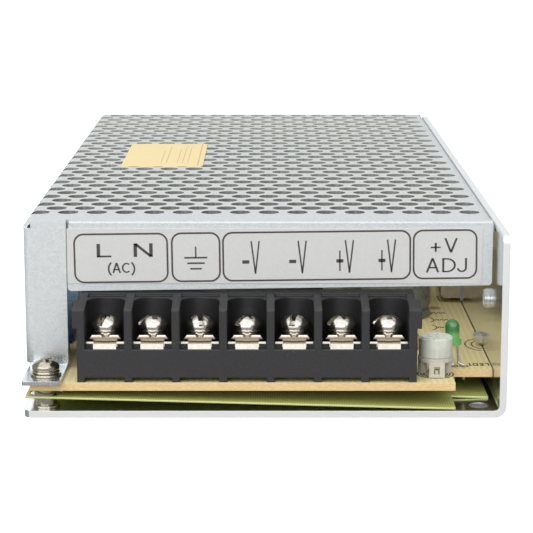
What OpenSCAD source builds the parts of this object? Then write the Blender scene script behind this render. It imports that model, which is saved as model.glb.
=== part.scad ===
// Enclosed switching power supply: folded chassis, perforated cover, board and screw terminals.
// Millimetres, +Z up. The terminals face -Y and the base plate lies on Z = 0.

/* [Case] */
// Length of the case, from the chassis front to the cover's rear face
case_l = 199; // [180:1:240]
// Width of the case over the cover's side wall and the chassis wall
case_w = 98; // [88:1:120]
// Height of the case over the cover
case_h = 38; // [36:0.5:50]

/* [Chassis] */
// Sheet thickness of the chassis
chassis_t = 1.4; // [1:0.1:2]
// Outer radius of the bend between base plate and wall
chassis_bend_r = 2.4; // [2.2:0.1:4]
// How far the chassis wall stays below the cover's top face
wall_drop = 0.7; // [0.3:0.1:2]
// Radius of the base plate's and the wall's free corners
chassis_corner_r = 1.8; // [0.5:0.1:4]
// Diameter of the mounting holes in the base plate
base_hole_d = 4; // [3:0.1:5]
// Distance of the base holes from the chassis ends
base_hole_end = 4.2; // [3.5:0.1:8]
// Distance of the base holes from the case sides
base_hole_side = 5.1; // [4.5:0.1:10]
// Diameter of the tapped side mounting holes
side_hole_d = 3; // [2.5:0.1:3.4]
// Height of the side mounting holes
side_hole_z = 19.9; // [16:0.1:24]
// Distance of the side mounting holes from the case ends
side_hole_end = 21.6; // [18:0.1:30]

/* [Cover] */
// Sheet thickness of the cover
cover_t = 0.8; // [0.6:0.05:1.2]
// Outer radius of the cover's bends
cover_bend_r = 1.6; // [1.4:0.1:2.5]
// How far the cover's front face stands behind the chassis front
cover_setback = 12.4; // [11.5:0.1:13]
// Width of the strip that is folded in from the side wall
return_w = 8.8; // [8:0.1:10]
// How far the fixing lug reaches past the chassis front
lug_overhang = 1.5; // [0:0.1:3]
// Free height between the terminal block and the right end of the front strip
strip_gap = 1.4; // [1.4:0.05:3.5]
// How far the lower edge of the front strip falls towards its left end
strip_fall = 1.2; // [0:0.05:1.2]
// Gap between neighbouring sheets
fold_gap = 0.1; // [0.05:0.05:0.3]

/* [Perforation] */
// Diameter of the ventilation holes
vent_d = 4.3; // [3:0.1:4.8]
// Distance between neighbouring ventilation holes
vent_pitch = 6; // [5.8:0.1:8]
// Distance from the cover's front face to the first row of holes
vent_first_row = 10.7; // [8:0.1:16]
// Distance from the cover's side to the first hole
vent_first_x = 2.25; // [2.2:0.05:6]
// Plain margin at the rear edge and the right edge
vent_margin = 4.1; // [3.5:0.1:10]

/* [Board] */
// Thickness of the circuit board
board_t = 1.6; // [1.2:0.1:2]
// Height of the standoffs over the base plate
standoff_h = 4.05; // [4:0.05:6]
// Diameter of the standoffs
standoff_d = 4; // [3.6:0.1:5]
// Distance of the board's front edge from the chassis front
board_front = 0.5; // [0.2:0.1:1.5]
// Depth of the step at the board's front right corner
board_step_d = 10.9; // [9:0.1:12]
// Thickness of the insulating sheet under the board
sheet_t = 0.35; // [0.2:0.05:0.5]
// Thread diameter of the board and cover screws
small_screw_d = 3; // [2.5:0.1:3.2]

/* [Terminal block] */
// Distance between neighbouring terminals
pole_pitch = 9.525; // [8.5:0.025:10.5]
// Thickness of the barriers
barrier_t = 1.6; // [1.2:0.1:1.8]
// Share of the front row's spare width that lies between cover and block
block_share = 0.235; // [0.1:0.005:0.4]
// Distance of the block's front face from the chassis front
block_front = 1.1; // [0.6:0.1:2]
// Depth of the block
block_d = 14; // [12:0.1:15]
// Height of the block over the board
block_h = 16.15; // [15.5:0.05:17]
// How far the barriers fall from the block's rear ridge to its front
barrier_fall = 1.4; // [0.5:0.1:2.5]
// Height of the terminal seats over the board
seat_h = 6.75; // [5.5:0.05:7.5]
// Thickness of the terminal plates
plate_t = 1.1; // [0.8:0.05:1.2]
// Thickness of the clamping washers
clamp_t = 1.4; // [1.2:0.05:1.6]
// Diameter of the terminal screw heads
head_d = 6; // [5:0.1:6.4]
// Height of the terminal screw heads
head_h = 3; // [2.4:0.1:3.3]
// Thread diameter of the terminal screws
screw_d = 3; // [2.6:0.1:3.3]

/* [Trimmer and lamp] */
// Share of the front row's spare width that lies between block and trimmer
trimmer_share = 0.06; // [0.04:0.01:0.2]
// Distance of the trimmer's axis from the chassis front
trimmer_y = 8; // [7:0.1:9]
// Diameter of the trimmer's turning cap
trimmer_d = 6.8; // [5.5:0.1:7]
// Height of the trimmer over the board
trimmer_h = 8; // [6.5:0.1:9]
// Diameter of the indicator lamp
lamp_d = 3; // [2.5:0.1:3.2]
// Place of the lamp's pads, as a share of the way from the trimmer's axis to the wall
lamp_share = 0.44; // [0.4:0.01:0.6]
// Distance of the lamp from the chassis front
lamp_y = 14.3; // [14:0.1:18]

/* [Labels] */
// Thickness of the labels
label_t = 0.12; // [0.05:0.01:0.3]
// Bare end of the front strip, right of its label
front_label_end = 2.05; // [0.5:0.05:20]
// Width of the label on the top
top_label_w = 20; // [12:0.5:30]
// Length of the label on the top
top_label_l = 41.4; // [20:0.1:60]
// Distance of the top label from the case side
top_label_x = 14.2; // [10:0.1:50]
// Distance of the top label from the chassis front
top_label_y = 89; // [40:0.5:110]

/* [Inner parts] */
// Diameter of the input storage capacitors
bulk_d = 22; // [16:0.5:23]
// Height of the input storage capacitors
bulk_h = 25; // [18:0.5:26]
// Diameter of the output capacitors
filter_d = 16; // [10:0.5:16]
// Height of the output capacitors
filter_h = 24; // [15:0.5:26]
// Width of the transformer core
core_w = 35; // [30:0.5:36]
// Height of the transformer core
core_h = 23; // [20:0.5:24]
// Thickness of the transformer core
core_t = 11; // [8:0.5:12]
// Diameter of the component leads
lead_d = 0.8; // [0.5:0.05:1]
// How far the leads reach through the board
lead_tail = 0.9; // [0.5:0.05:1]

/* [Hidden] */
$fn = 48;
over = 0.5;
pole_count = 7;

// Levels
base_top = chassis_t;
board_under = base_top + standoff_h;
board_top = board_under + board_t;
wall_top = case_h - wall_drop;
cover_under = case_h - cover_t;
lug_top = board_top + cover_t;
seat_z = board_top + seat_h;
block_top = board_top + block_h;
strip_z = block_top + strip_gap;
strip_left_z = strip_z - strip_fall;
plate_top = seat_z + plate_t;
clamp_top = plate_top + clamp_t;

// Chassis and cover places across the case
wall_in = case_w - chassis_t;
base_left = cover_t + fold_gap;
base_rear = case_l - cover_t - fold_gap;
flange_x = wall_in - 1.5 * fold_gap;
strip_x0 = return_w + 1.5 * fold_gap;
strip_end_gap = 0.45;
strip_x1 = flange_x - strip_end_gap;
bend_y = cover_setback + cover_bend_r;
cover_foot = 0.4;
lug_bend_r = 0.4;
lug_bend_z = lug_top + lug_bend_r;
lug_x0 = cover_t;
lug_step = 0.2;
lug_x1 = return_w - lug_step;
lug_corner_r = 0.5;
side_notch_l = 10;
flange_h = 1;
relief = 0.8;
boss_wall = 0.55;
boss_h = 1.15;
boss_edge = 0.4;
tab_l = 9;
tab_h = 8;
cover_screw_out = 2;
tab_end = 45;
tab_y = [tab_end, case_l - tab_end];
tab_hole_z = case_h - cover_bend_r - tab_h / 2;
strip_corner_r = 0.8;
front_label_r = 0.3;
top_label_r = 1;

// Ventilation pattern
vent_row = vent_pitch * sin(60);
vent_y0 = cover_setback + vent_first_row;
vent_rows = floor((case_l - vent_margin - vent_y0) / vent_row + 0.05) + 1;
vent_last_x = flange_x - vent_margin;
bend_mid = PI / 2 * (cover_bend_r - cover_t / 2);
side_vent_bottom = 12;

// Mounting holes in three corners of the base plate, the standoff takes the fourth
base_holes = [
  [case_w - base_hole_side, base_hole_end], [case_w - base_hole_side, base_rear - base_hole_end],
  [base_hole_side, base_rear - base_hole_end]
];

// Board fasteners
fit_gap = 0.05;
standoff_collar_d = standoff_d + 1.5;
standoff_collar_h = 0.5;
standoff_floor = 0.8;
fix_side = 5.1;
fix_front = 4;
fix_rear_gap = 16;
fix_rear = case_l - fix_rear_gap;
fix_right_gap = 8;
fix_right = case_w - fix_right_gap;
fix_points = [[fix_side, fix_front], [fix_side, fix_rear], [fix_right, fix_rear]];
flat_washer_t = 0.5;
flat_washer_d = small_screw_d * 2.1;
spring_washer_t = 0.65;
washer_edge = 0.18;
spring_washer_d = small_screw_d * 1.85;
split_w = 0.6;
split_turn = 200;
board_head_d = small_screw_d * 1.85;
board_head_h = 2.3;
device_head_h = 2;
join = 0.1;
pilot_r = small_screw_d / 2 - 0.1;
loose_r = small_screw_d / 2 + 0.2;
function fix_z(i) = board_top + (i == 0 ? cover_t : 0);

// Board outline and catch on the wall
board_left = 2.2;
board_wall_gap = 0.15;
board_right = wall_in - board_wall_gap;
board_rear_gap = 4;
board_rear = case_l - board_rear_gap;
catch_y = 33;
catch_r = 2.4;
sheet_gap = 0.2;
sheet_left = 1.2;
sheet_rear = base_rear - 2 * base_hole_end - 1;
sheet_right = wall_in - (chassis_bend_r - chassis_t) - sheet_gap;
sheet_left_z = board_under - lead_tail - sheet_gap - sheet_t;
sheet_angle = asin((sheet_left_z - base_top) / (sheet_right - sheet_left));

// Terminal block
block_w = pole_count * pole_pitch + barrier_t;
trimmer_rim_w = 0.2;
trimmer_ring_d = trimmer_d + 2 * trimmer_rim_w;
row_spare = wall_in - return_w - block_w - trimmer_ring_d;
block_x = return_w + block_share * row_spare;
trimmer_x = block_x + block_w + trimmer_share * row_spare + trimmer_ring_d / 2;
lamp_x = trimmer_x + lamp_share * (wall_in - trimmer_x);
trimmer_overhang = 0.15;
board_step_x = trimmer_x + trimmer_ring_d / 2 - trimmer_overhang;
pocket_w = pole_pitch - barrier_t;
pole_depth = 5.4;
pole_y = block_front + pole_depth;
foot_h = 0.9;
ear_w = 0.9;
ear_l = 6.5;
ear_drop = 5.1;
ear_z = block_top - ear_drop;
ridge_d = 3.7;
ridge_y = block_front + block_d - ridge_d;
ledge_drop = 0.6;
ledge_z = block_top - ledge_drop;
tongue_w = 4.6;
tongue_y = block_front + 0.4;
plate_front = block_front + 2.3;
plate_clear = 0.15;
lip_w = (pocket_w - tongue_w) / 2 - plate_clear;
lip_t = 0.35;
lip_h = 0.7;
clamp_w = 6.4;
clamp_top_w = 5.2;
clamp_foot_w = 4.8;
clamp_foot_h = 0.6;
clamp_foot_back = 0.25;
clamp_front = 3.3;
dip_w = 2;
dip_floor_w = 1.4;
dip_d = 0.45;
neck_d = 4.6;
neck_h = 0.4;
head_edge = 0.2;
hole_clear = 0.3;
shank_floor = 2;
shank_l = seat_h + plate_t + clamp_t - shank_floor;
well_floor = 1.5;
well_d = screw_d + 1.4;
pin_w = 0.8;
pin_d = 0.6;
pin_x = 2.8;
pin_y = 1.4;
cross_w = 1.2;
cross_h = 2.1;
slot_w = 1.2;
slot_h = 1.7;
screw_turn = [68, 20, 98, 45, 80, 30, 8];
function pole_x(i) = block_x + barrier_t / 2 + pole_pitch * (i + 0.5);

// Trimmer and lamp
trimmer_leg_h = 3;
trimmer_ring_t = 0.9;
trimmer_leg_w = 3.2;
trimmer_leg_t = 0.9;
trimmer_gap = 0.1;
trimmer_pivot_d = 2.4;
trimmer_slot_w = 0.7;
trimmer_pivot_h = 2;
trimmer_post_d = 1.9;
trimmer_post_at = [2.5, 1.2];
trimmer_edge = 0.3;
trimmer_pin_front = 2.9;
trimmer_pin_back = [2.5, 2];
trimmer_axis = [trimmer_x, trimmer_y];
trimmer_pins = [
  trimmer_axis - [0, trimmer_pin_front], trimmer_axis + trimmer_pin_back,
  trimmer_axis + [-trimmer_pin_back.x, trimmer_pin_back.y]
];
lamp_lift = 4.75;
lamp_z = board_top + lamp_lift;
lamp_rim_w = 0.4;
lamp_rim_h = 0.9;
lamp_knee_d = 0.6;
lamp_pad_h = 0.2;
lamp_lean = 1;
lamp_off = 1.4;
lamp_l = 5.2;
lamp_lead_gap = 1.05;
lamp_lead_d = 0.5;
lamp_foot_h = 0.75;
lamp_knee_share = 0.8;

// Inner part places, in the case frame
neck_z = 2.2;
neck_r = 0.6;
sleeve_edge = 0.5;
vent_groove_w = 0.5;
vent_groove_h = 0.3;
bulk_at = [[18.5, 72], [18.5, 98]];
bulk_span = 10;
filter_wall_gap = [16.8, 30];
filter_y = [63, 81];
filter_at = [for (k = [0, 1]) [wall_in - filter_wall_gap[k], filter_y[k]]];
filter_span = 7.5;
xcap_at = [11.2, 19.5];
xcap_size = [26, 10, 18];
xcap_edge = 0.6;
xcap_span = 22.5;
disc_at = [[7, 26], [7, 41]];
disc_d = 9;
disc_t = 4;
disc_lift = 2;
disc_span = 5;
fuse_l = 20;
fuse_d = 5.2;
fuse_cap_l = 5.5;
fuse_lift = 0.6;
fuse_lead_l = 2;
fuse_side_gap = 4.8;
fuse_at = [xcap_at.x + xcap_size.x + fuse_side_gap, 22.5];
limiter_d = 10;
limiter_t = 4.5;
limiter_span = 6;
limiter_side_gap = 2;
limiter_at = fuse_at + [fuse_l + fuse_lead_l + limiter_side_gap + limiter_d / 2, 0];
choke_leg = 5;
choke_w = 20;
choke_h = 22;
choke_t = 6;
choke_wall = 3;
choke_lift = 1.5;
choke_pin = [7, 5];
choke_foot = [18, 2.8];
choke_side_gap = 1;
choke_y = 45;
choke_at = [disc_at[1].x + disc_t / 2 + choke_side_gap + choke_wall + choke_w / 2, choke_y];
bridge_at = [40, 36];
bridge_size = [22, 3.6, 18];
bridge_lift = 2;
bridge_hole_d = 3.4;
bridge_corner = 4.2;
bridge_pitch = 5.08;
trafo_at = [51, 106];
trafo_leg = 10;
trafo_yoke = 5;
trafo_side = 5;
trafo_lift = 2.6;
trafo_depth = 28;
trafo_flange = 1.2;
trafo_tube = 2.2;
trafo_edge_r = 2;
trafo_inset = 0.8;
trafo_foot = [1, 3.8];
trafo_pin_pitch = 5;
window_w = (core_w - trafo_leg) / 2 - trafo_side;
window_h = core_h - 2 * trafo_yoke;
coil_w = trafo_leg + 2 * window_w;
trafo_window_z = board_top + trafo_lift + trafo_yoke;
trafo_foot_y = (trafo_depth - trafo_foot.y) / 2 - 0.3;
toroid_at = [48, 62.5];
toroid_r = 6.5;
toroid_core_r = 3;
toroid_wire_d = 1.1;
toroid_turns = 10;
toroid_z = board_top + toroid_core_r + fit_gap + toroid_wire_d;
device_y = [81.5, 97, 127, 142];
device_size = [4.6, 11, 17];
device_lift = 1;
device_lead_gap = 2.54;
device_edge = 1;
pad_t = 0.4;
pad_size = [13, 19];
pad_z = 0.6;
device_hole_z = 13.5;
film_wall_gap = 10;
film_y = 78;
film_at = [wall_in - film_wall_gap, film_y];
film_size = [5.4, 8, 12];
film_edge = 1.8;
film_lift = 1.2;
film_span = 5;
chip_at = [44, 134];
chip_size = [6.4, 19, 3.4];
opto_at = [62, 134];
opto_size = [6.4, 4.6, 3.4];
chip_lift = 0.4;
chip_pin_gap = 7.62;
chip_pin_pitch = 2.54;
chip_pin_d = 0.6;
chip_pin_t = 0.4;
chip_mark_d = 1.8;
chip_mark_h = 0.4;
resistor_wall_gap = 14.6;
resistor_at = [
  [wall_in - resistor_wall_gap, 33], [wall_in - resistor_wall_gap, 46], [30, 132], [30, 145],
  [72, 132], [72, 145]
];
resistor_d = 2.4;
resistor_l = 6.5;
resistor_span = 10;
resistor_wire_d = 0.6;

// Lead places on the board
function pair_x(p, s) = [p + [-s / 2, 0], p + [s / 2, 0]];
function pair_y(p, s) = [p + [0, -s / 2], p + [0, s / 2]];
fuse_leads = [fuse_at + [-fuse_lead_l, 0], fuse_at + [fuse_l + fuse_lead_l, 0]];
xcap_leads = pair_x(xcap_at + [xcap_size.x / 2, xcap_size.y / 2], xcap_span);
disc_leads = [for (p = disc_at) each pair_y(p, disc_span)];
limiter_leads = pair_x(limiter_at, limiter_span);
choke_leads = [for (sx = [-1, 1], sy = [-1, 1]) choke_at + [sx * choke_pin.x, sy * choke_pin.y]];
bridge_mid = bridge_at + [bridge_size.x / 2, bridge_size.y / 2];
bridge_leads = [for (i = [0 : 3]) bridge_mid + [(i - 1.5) * bridge_pitch, 0]];
bulk_leads = [for (p = bulk_at) each pair_x(p, bulk_span)];
filter_leads = [for (p = filter_at) each pair_x(p, filter_span)];
trafo_leads = [for (sy = [-1, 1], i = [-2 : 2]) trafo_at + [i * trafo_pin_pitch, sy * trafo_foot_y]];
toroid_leads = pair_x(toroid_at, 2 * (toroid_r + toroid_core_r + toroid_wire_d));
device_x = wall_in - pad_t - device_size.x / 2;
device_leads = [for (y = device_y, i = [-1 : 1]) [device_x, y + i * device_lead_gap]];
film_leads = pair_y(film_at, film_span);
chip_leads = [for (sx = [-1, 1], i = [0 : 6])
  chip_at + [sx * chip_pin_gap / 2, (i - 3) * chip_pin_pitch]];
opto_leads = [for (sx = [-1, 1], i = [0 : 1])
  opto_at + [sx * chip_pin_gap / 2, (i - 0.5) * chip_pin_pitch]];
resistor_leads = [for (p = resistor_at) each pair_y(p, resistor_span)];
lamp_leads_at = pair_x([lamp_x, lamp_y], 2 * lamp_lead_gap);
all_leads = concat(fuse_leads, xcap_leads, disc_leads, limiter_leads, choke_leads, bridge_leads, bulk_leads,
  filter_leads, trafo_leads, toroid_leads, device_leads, film_leads, chip_leads, opto_leads, resistor_leads,
  trimmer_pins, lamp_leads_at);

// Moves the case frame to the part's origin, at the middle of the underside
module in_case() {
  translate([-case_w / 2, -(case_l - lug_overhang) / 2, 0]) children();
}

// Carries a Y-Z profile along X
module along_x(x0, x1) {
  translate([x0, 0, 0]) rotate([90, 0, 90]) linear_extrude(x1 - x0) children();
}

// Carries an X-Z profile along Y
module along_y(y0, y1) {
  translate([0, y1, 0]) rotate([90, 0, 0]) linear_extrude(y1 - y0) children();
}

// Section of a right-angled bend, in the first quadrant
module bend(r, t) {
  intersection() {
    difference() {
      circle(r);
      circle(r - t);
    }
    square(r + over);
  }
}

module rounded(w, h, r) {
  translate([r, 0]) square([w - 2 * r, h]);
  translate([0, r]) square([w, h - 2 * r]);
  for (x = [r, w - r], y = [r, h - r])
    translate([x, y]) circle(r);
}

// What a rounded corner takes away from a square one at the origin
module corner_waste(r) {
  difference() {
    translate([-over, -over]) square(r + over);
    translate([r, r]) circle(r);
  }
}

module rod(a, b, d) {
  v = b - a;
  translate(a) rotate([0, acos(v.z / norm(v)), atan2(v.y, v.x)]) cylinder(d = d, h = norm(v));
}

// Leads from under the board up to a height over it
module leads(points, h = 0, d = lead_d) {
  for (p = points)
    translate([p.x, p.y, board_under - lead_tail]) cylinder(d = d, h = lead_tail + board_t + h);
}

// Round head with a domed top, its seat at Z = 0
module domed_head(d, h) {
  dome_r = d * 0.62;
  intersection() {
    union() {
      cylinder(d1 = d - 2 * head_edge, d2 = d, h = head_edge);
      translate([0, 0, head_edge]) cylinder(d = d, h = h - head_edge);
    }
    translate([0, 0, h - dome_r]) sphere(dome_r, $fn = 64);
  }
}

// Cross recess, cut down from Z = 0
module cross_recess(l, w, h) {
  for (a = [0, 90])
    rotate(a) translate([-l / 2, -w / 2, -h]) cube([l, w, h + over]);
}

module chassis_profile() {
  inner_r = chassis_bend_r - chassis_t;
  clear_w = wall_in - base_left + over;
  difference() {
    translate([base_left, 0]) square([case_w - base_left, wall_top]);
    translate([base_left - over, base_top]) square([clear_w - inner_r, wall_top]);
    translate([base_left - over, chassis_bend_r]) square([clear_w, wall_top]);
    translate([case_w - chassis_bend_r, chassis_bend_r]) circle(inner_r);
    translate([case_w, 0]) mirror([1, 0]) corner_waste(chassis_bend_r);
  }
}

module wall_catch() {
  intersection() {
    difference() {
      sphere(catch_r);
      sphere(catch_r - chassis_t * 0.7);
    }
    translate([-catch_r, -catch_r, -catch_r]) cube([catch_r, 2 * catch_r, catch_r]);
  }
}

module chassis() {
  color("gainsboro")
  in_case()
  difference() {
    union() {
      along_y(0, case_l) chassis_profile();
      for (y = [side_hole_end, case_l - side_hole_end])
        translate([wall_in + over, y, side_hole_z]) side_boss();
      translate([wall_in + chassis_t * 0.3, catch_y, board_top + catch_r]) wall_catch();
    }
    translate([0, 0, -over]) linear_extrude(base_top + 2 * over) base_waste();
    along_x(wall_in - over, case_w + over) wall_waste();
    for (p = base_holes)
      translate([p.x, p.y, -over]) cylinder(d = base_hole_d, h = base_top + 2 * over);
    for (p = fix_points)
      translate([p.x, p.y, -over]) cylinder(d = standoff_d + 2 * fit_gap, h = base_top + 2 * over);
    for (y = [side_hole_end, case_l - side_hole_end])
      translate([case_w + over, y, side_hole_z]) rotate([0, -90, 0])
        cylinder(d = side_hole_d, h = 2 * chassis_t + boss_h + over);
    for (y = tab_y)
      translate([case_w, y, tab_hole_z]) cover_screw_shape(fit_gap);
    for (y = device_y)
      translate([wall_in - over, y, board_top + device_hole_z]) rotate([0, 90, 0])
        cylinder(r = pilot_r + fit_gap, h = chassis_t + 2 * over);
  }
}

// Collar that is drawn inwards around a side mounting hole
module side_boss() {
  rotate([0, -90, 0]) {
    cylinder(d = side_hole_d + 2 * boss_wall, h = boss_h - boss_edge + over);
    cylinder(d = side_hole_d + 2 * (boss_wall - boss_edge / 2), h = boss_h + over);
  }
}

module base_waste() {
  translate([base_left, 0]) corner_waste(chassis_corner_r);
  translate([base_left, base_rear]) mirror([0, 1]) corner_waste(chassis_corner_r);
  translate([-over, base_rear]) square([strip_x1 + over + fold_gap, cover_t + fold_gap + over]);
}

module wall_waste() {
  translate([0, wall_top]) mirror([0, 1]) corner_waste(chassis_corner_r);
  translate([case_l, wall_top]) rotate(180) corner_waste(chassis_corner_r);
}

// Countersunk screw through the wall, its head's face at X = 0
module cover_screw_shape(grow) {
  head_r = small_screw_d * 0.85 + grow;
  rotate([0, -90, 0]) {
    translate([0, 0, -grow]) cylinder(r1 = head_r, r2 = pilot_r + grow, h = chassis_t * 0.85 + grow);
    cylinder(r = pilot_r + grow, h = chassis_t + cover_t + cover_screw_out);
  }
}

module vent_holes() {
  for (j = [0 : vent_rows - 1])
    for (x = [vent_start(j) : vent_pitch : vent_last_x])
      translate([x, vent_y0 + j * vent_row]) circle(d = vent_d, $fn = 24);
}

// Distance along the sheet from the bend's lower end to the first hole of the side wall
function vent_start(j) = vent_first_x + (j % 2) * vent_pitch / 2;
function side_vent_drop(j) = vent_pitch - (vent_start(j) - cover_bend_r) - bend_mid;

module side_vent_holes() {
  for (j = [0 : vent_rows - 1])
    for (z = [case_h - cover_bend_r - side_vent_drop(j) : -vent_pitch : side_vent_bottom])
      translate([vent_y0 + j * vent_row, z]) circle(d = vent_d, $fn = 24);
}

module top_plan() {
  difference() {
    polygon([
      [cover_bend_r, cover_setback + cover_t + fold_gap], [return_w, cover_setback + cover_t + fold_gap],
      [return_w, bend_y + relief], [strip_x0 + relief / 2, bend_y + relief], [strip_x0 + relief / 2, bend_y],
      [strip_x1, bend_y], [strip_x1, bend_y + fold_gap], [flange_x - cover_bend_r, bend_y + fold_gap],
      [flange_x - cover_bend_r, case_l - cover_bend_r], [cover_bend_r, case_l - cover_bend_r]
    ]);
    vent_holes();
  }
}

module left_bend() {
  difference() {
    along_y(cover_setback + cover_t + fold_gap, case_l - cover_bend_r)
      translate([cover_bend_r, case_h - cover_bend_r]) mirror([1, 0]) bend(cover_bend_r, cover_t);
    for (j = [0 : 2 : vent_rows - 1])
      translate([vent_first_x, vent_y0 + j * vent_row, case_h - cover_bend_r])
        cylinder(d = vent_d, h = 2 * cover_bend_r, $fn = 24);
    for (j = [1 : 2 : vent_rows - 1])
      translate([-over, vent_y0 + j * vent_row, case_h - cover_bend_r - side_vent_drop(j)]) rotate([0, 90, 0])
        cylinder(d = vent_d, h = over + cover_t, $fn = 24);
  }
}

module side_wall_plan() {
  difference() {
    polygon([
      [bend_y, lug_bend_z], [bend_y, case_h - cover_bend_r], [base_rear, case_h - cover_bend_r],
      [base_rear, cover_foot], [bend_y + side_notch_l, cover_foot], [bend_y + side_notch_l, lug_bend_z]
    ]);
    side_vent_holes();
  }
}

module front_strip_plan() {
  strip_top = case_h - cover_bend_r;
  round_x0 = strip_x0 + strip_corner_r;
  round_x1 = strip_x1 - strip_corner_r;
  polygon([
    [strip_x0, strip_top], [strip_x1, strip_top], [strip_x1, strip_z + strip_corner_r], [round_x1, strip_z],
    [round_x0, strip_left_z], [strip_x0, strip_left_z + strip_corner_r]
  ]);
  translate([round_x0, strip_left_z + strip_corner_r]) circle(strip_corner_r);
  translate([round_x1, strip_z + strip_corner_r]) circle(strip_corner_r);
}

module lug_plan() {
  lug_w = lug_x1 - lug_x0;
  difference() {
    translate([lug_x0, -lug_overhang]) {
      rounded(lug_w, lug_overhang + fix_front, lug_corner_r);
      translate([0, 2 * lug_corner_r])
        square([lug_w, lug_overhang + cover_setback - lug_bend_r - 2 * lug_corner_r]);
    }
    translate(fix_points[0]) circle(loose_r);
  }
}

module right_flange_plan() {
  flange_top = case_h - cover_bend_r;
  difference() {
    union() {
      translate([bend_y + fold_gap, flange_top - flange_h])
        square([case_l - cover_bend_r - bend_y - fold_gap, flange_h]);
      for (y = tab_y)
        translate([y - tab_l / 2, flange_top - tab_h]) square([tab_l, tab_h]);
    }
    for (y = tab_y)
      translate([y, tab_hole_z]) circle(pilot_r + 2 * fit_gap);
  }
}

module cover() {
  color("silver")
  in_case() {
    translate([0, 0, cover_under]) linear_extrude(cover_t) top_plan();
    left_bend();
    along_x(0, cover_t) side_wall_plan();
    translate([cover_bend_r, bend_y, lug_bend_z]) linear_extrude(case_h - cover_bend_r - lug_bend_z)
      rotate(180) bend(cover_bend_r, cover_t);
    along_y(cover_setback, cover_setback + cover_t) translate([cover_bend_r, lug_bend_z])
      square([return_w - cover_bend_r, case_h - lug_bend_z]);
    along_x(lug_x0, lug_x1) translate([cover_setback - lug_bend_r, lug_bend_z]) mirror([0, 1])
      bend(lug_bend_r + cover_t, cover_t);
    translate([0, 0, board_top]) linear_extrude(cover_t) lug_plan();
    along_x(strip_x0 + relief / 2, strip_x1) translate([bend_y, case_h - cover_bend_r]) mirror([1, 0])
      bend(cover_bend_r, cover_t);
    along_y(cover_setback, cover_setback + cover_t) front_strip_plan();
    along_y(bend_y + fold_gap, case_l - cover_bend_r)
      translate([flange_x - cover_bend_r, case_h - cover_bend_r]) bend(cover_bend_r, cover_t);
    along_x(flange_x - cover_t, flange_x) right_flange_plan();
    along_x(cover_bend_r, strip_x1) translate([case_l - cover_bend_r, case_h - cover_bend_r])
      bend(cover_bend_r, cover_t);
    along_y(case_l - cover_t, case_l) translate([0, cover_foot])
      square([strip_x1, case_h - cover_bend_r - cover_foot]);
  }
}

module insulating_sheet() {
  sheet_w = sheet_right - sheet_left;
  notch_w = 7.6;
  notch_d = 9.4;
  color("yellowgreen")
  in_case()
  difference() {
    translate([sheet_right, 0, base_top]) rotate([0, sheet_angle, 0]) linear_extrude(sheet_t) difference() {
      translate([-sheet_w, sheet_gap]) square([sheet_w, sheet_rear - sheet_gap]);
      translate([-notch_w, sheet_gap - over]) square([notch_w + over, notch_d + over]);
    }
    for (p = fix_points)
      translate([p.x, p.y, 0]) cylinder(d = standoff_collar_d + 1, h = board_under);
  }
}

module board_plan() {
  polygon([
    [board_left, board_front], [board_step_x, board_front],
    [board_step_x, board_front + board_step_d], [board_right, board_front + board_step_d],
    [board_right, board_rear], [board_left, board_rear]
  ]);
}

module main_board() {
  color("burlywood")
  in_case()
  translate([0, 0, board_under]) linear_extrude(board_t) difference() {
    board_plan();
    for (p = fix_points)
      translate(p) circle(loose_r);
    for (p = all_leads)
      translate(p) circle(d = lead_d + 2 * fit_gap, $fn = 16);
    for (i = [0 : pole_count - 1], s = [-1, 1])
      translate([pole_x(i) + s * pin_x, pole_y + pin_y])
        square([pin_w + 2 * fit_gap, pin_d + 2 * fit_gap], center = true);
  }
}

module standoffs() {
  color("lightgray")
  in_case()
  for (p = fix_points)
    translate([p.x, p.y, 0]) difference() {
      union() {
        cylinder(d = standoff_d, h = board_under);
        translate([0, 0, base_top]) cylinder(d = standoff_collar_d, h = standoff_collar_h);
      }
      translate([0, 0, standoff_floor]) cylinder(r = pilot_r + fit_gap, h = board_under);
    }
}

module board_screws() {
  washers = flat_washer_t + spring_washer_t;
  color("silver")
  in_case()
  for (i = [0 : len(fix_points) - 1])
    translate([fix_points[i].x, fix_points[i].y, fix_z(i) + washers]) {
      difference() {
        domed_head(board_head_d, board_head_h);
        translate([0, 0, board_head_h]) rotate(25) cross_recess(board_head_d * 0.62, 0.75, 1.3);
      }
      shank = fix_z(i) + washers - base_top;
      translate([0, 0, -shank]) cylinder(r = pilot_r, h = shank + join);
    }
}

module washer(od, t, split) {
  difference() {
    union() {
      cylinder(d1 = od - 2 * washer_edge, d2 = od, h = washer_edge);
      translate([0, 0, washer_edge]) cylinder(d = od, h = t - 2 * washer_edge);
      translate([0, 0, t - washer_edge]) cylinder(d1 = od, d2 = od - 2 * washer_edge, h = washer_edge);
    }
    translate([0, 0, -over]) cylinder(r = pilot_r + fit_gap, h = t + 2 * over);
    if (split)
      rotate(split_turn) translate([0, -split_w / 2, -over]) cube([od, split_w, t + 2 * over]);
  }
}

module spring_washers() {
  color("lightgray")
  in_case()
  for (i = [0 : len(fix_points) - 1])
    translate([fix_points[i].x, fix_points[i].y, fix_z(i) + flat_washer_t])
      washer(spring_washer_d, spring_washer_t, true);
}

module flat_washers() {
  color("lightgray")
  in_case()
  for (i = [0 : len(fix_points) - 1])
    translate([fix_points[i].x, fix_points[i].y, fix_z(i)]) washer(flat_washer_d, flat_washer_t, false);
}

module cover_screws() {
  color("silver")
  in_case()
  for (y = tab_y)
    translate([case_w, y, tab_hole_z]) difference() {
      cover_screw_shape(0);
      rotate([0, 90, 0]) cross_recess(small_screw_d * 0.9, 0.6, 0.9);
    }
}

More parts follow.
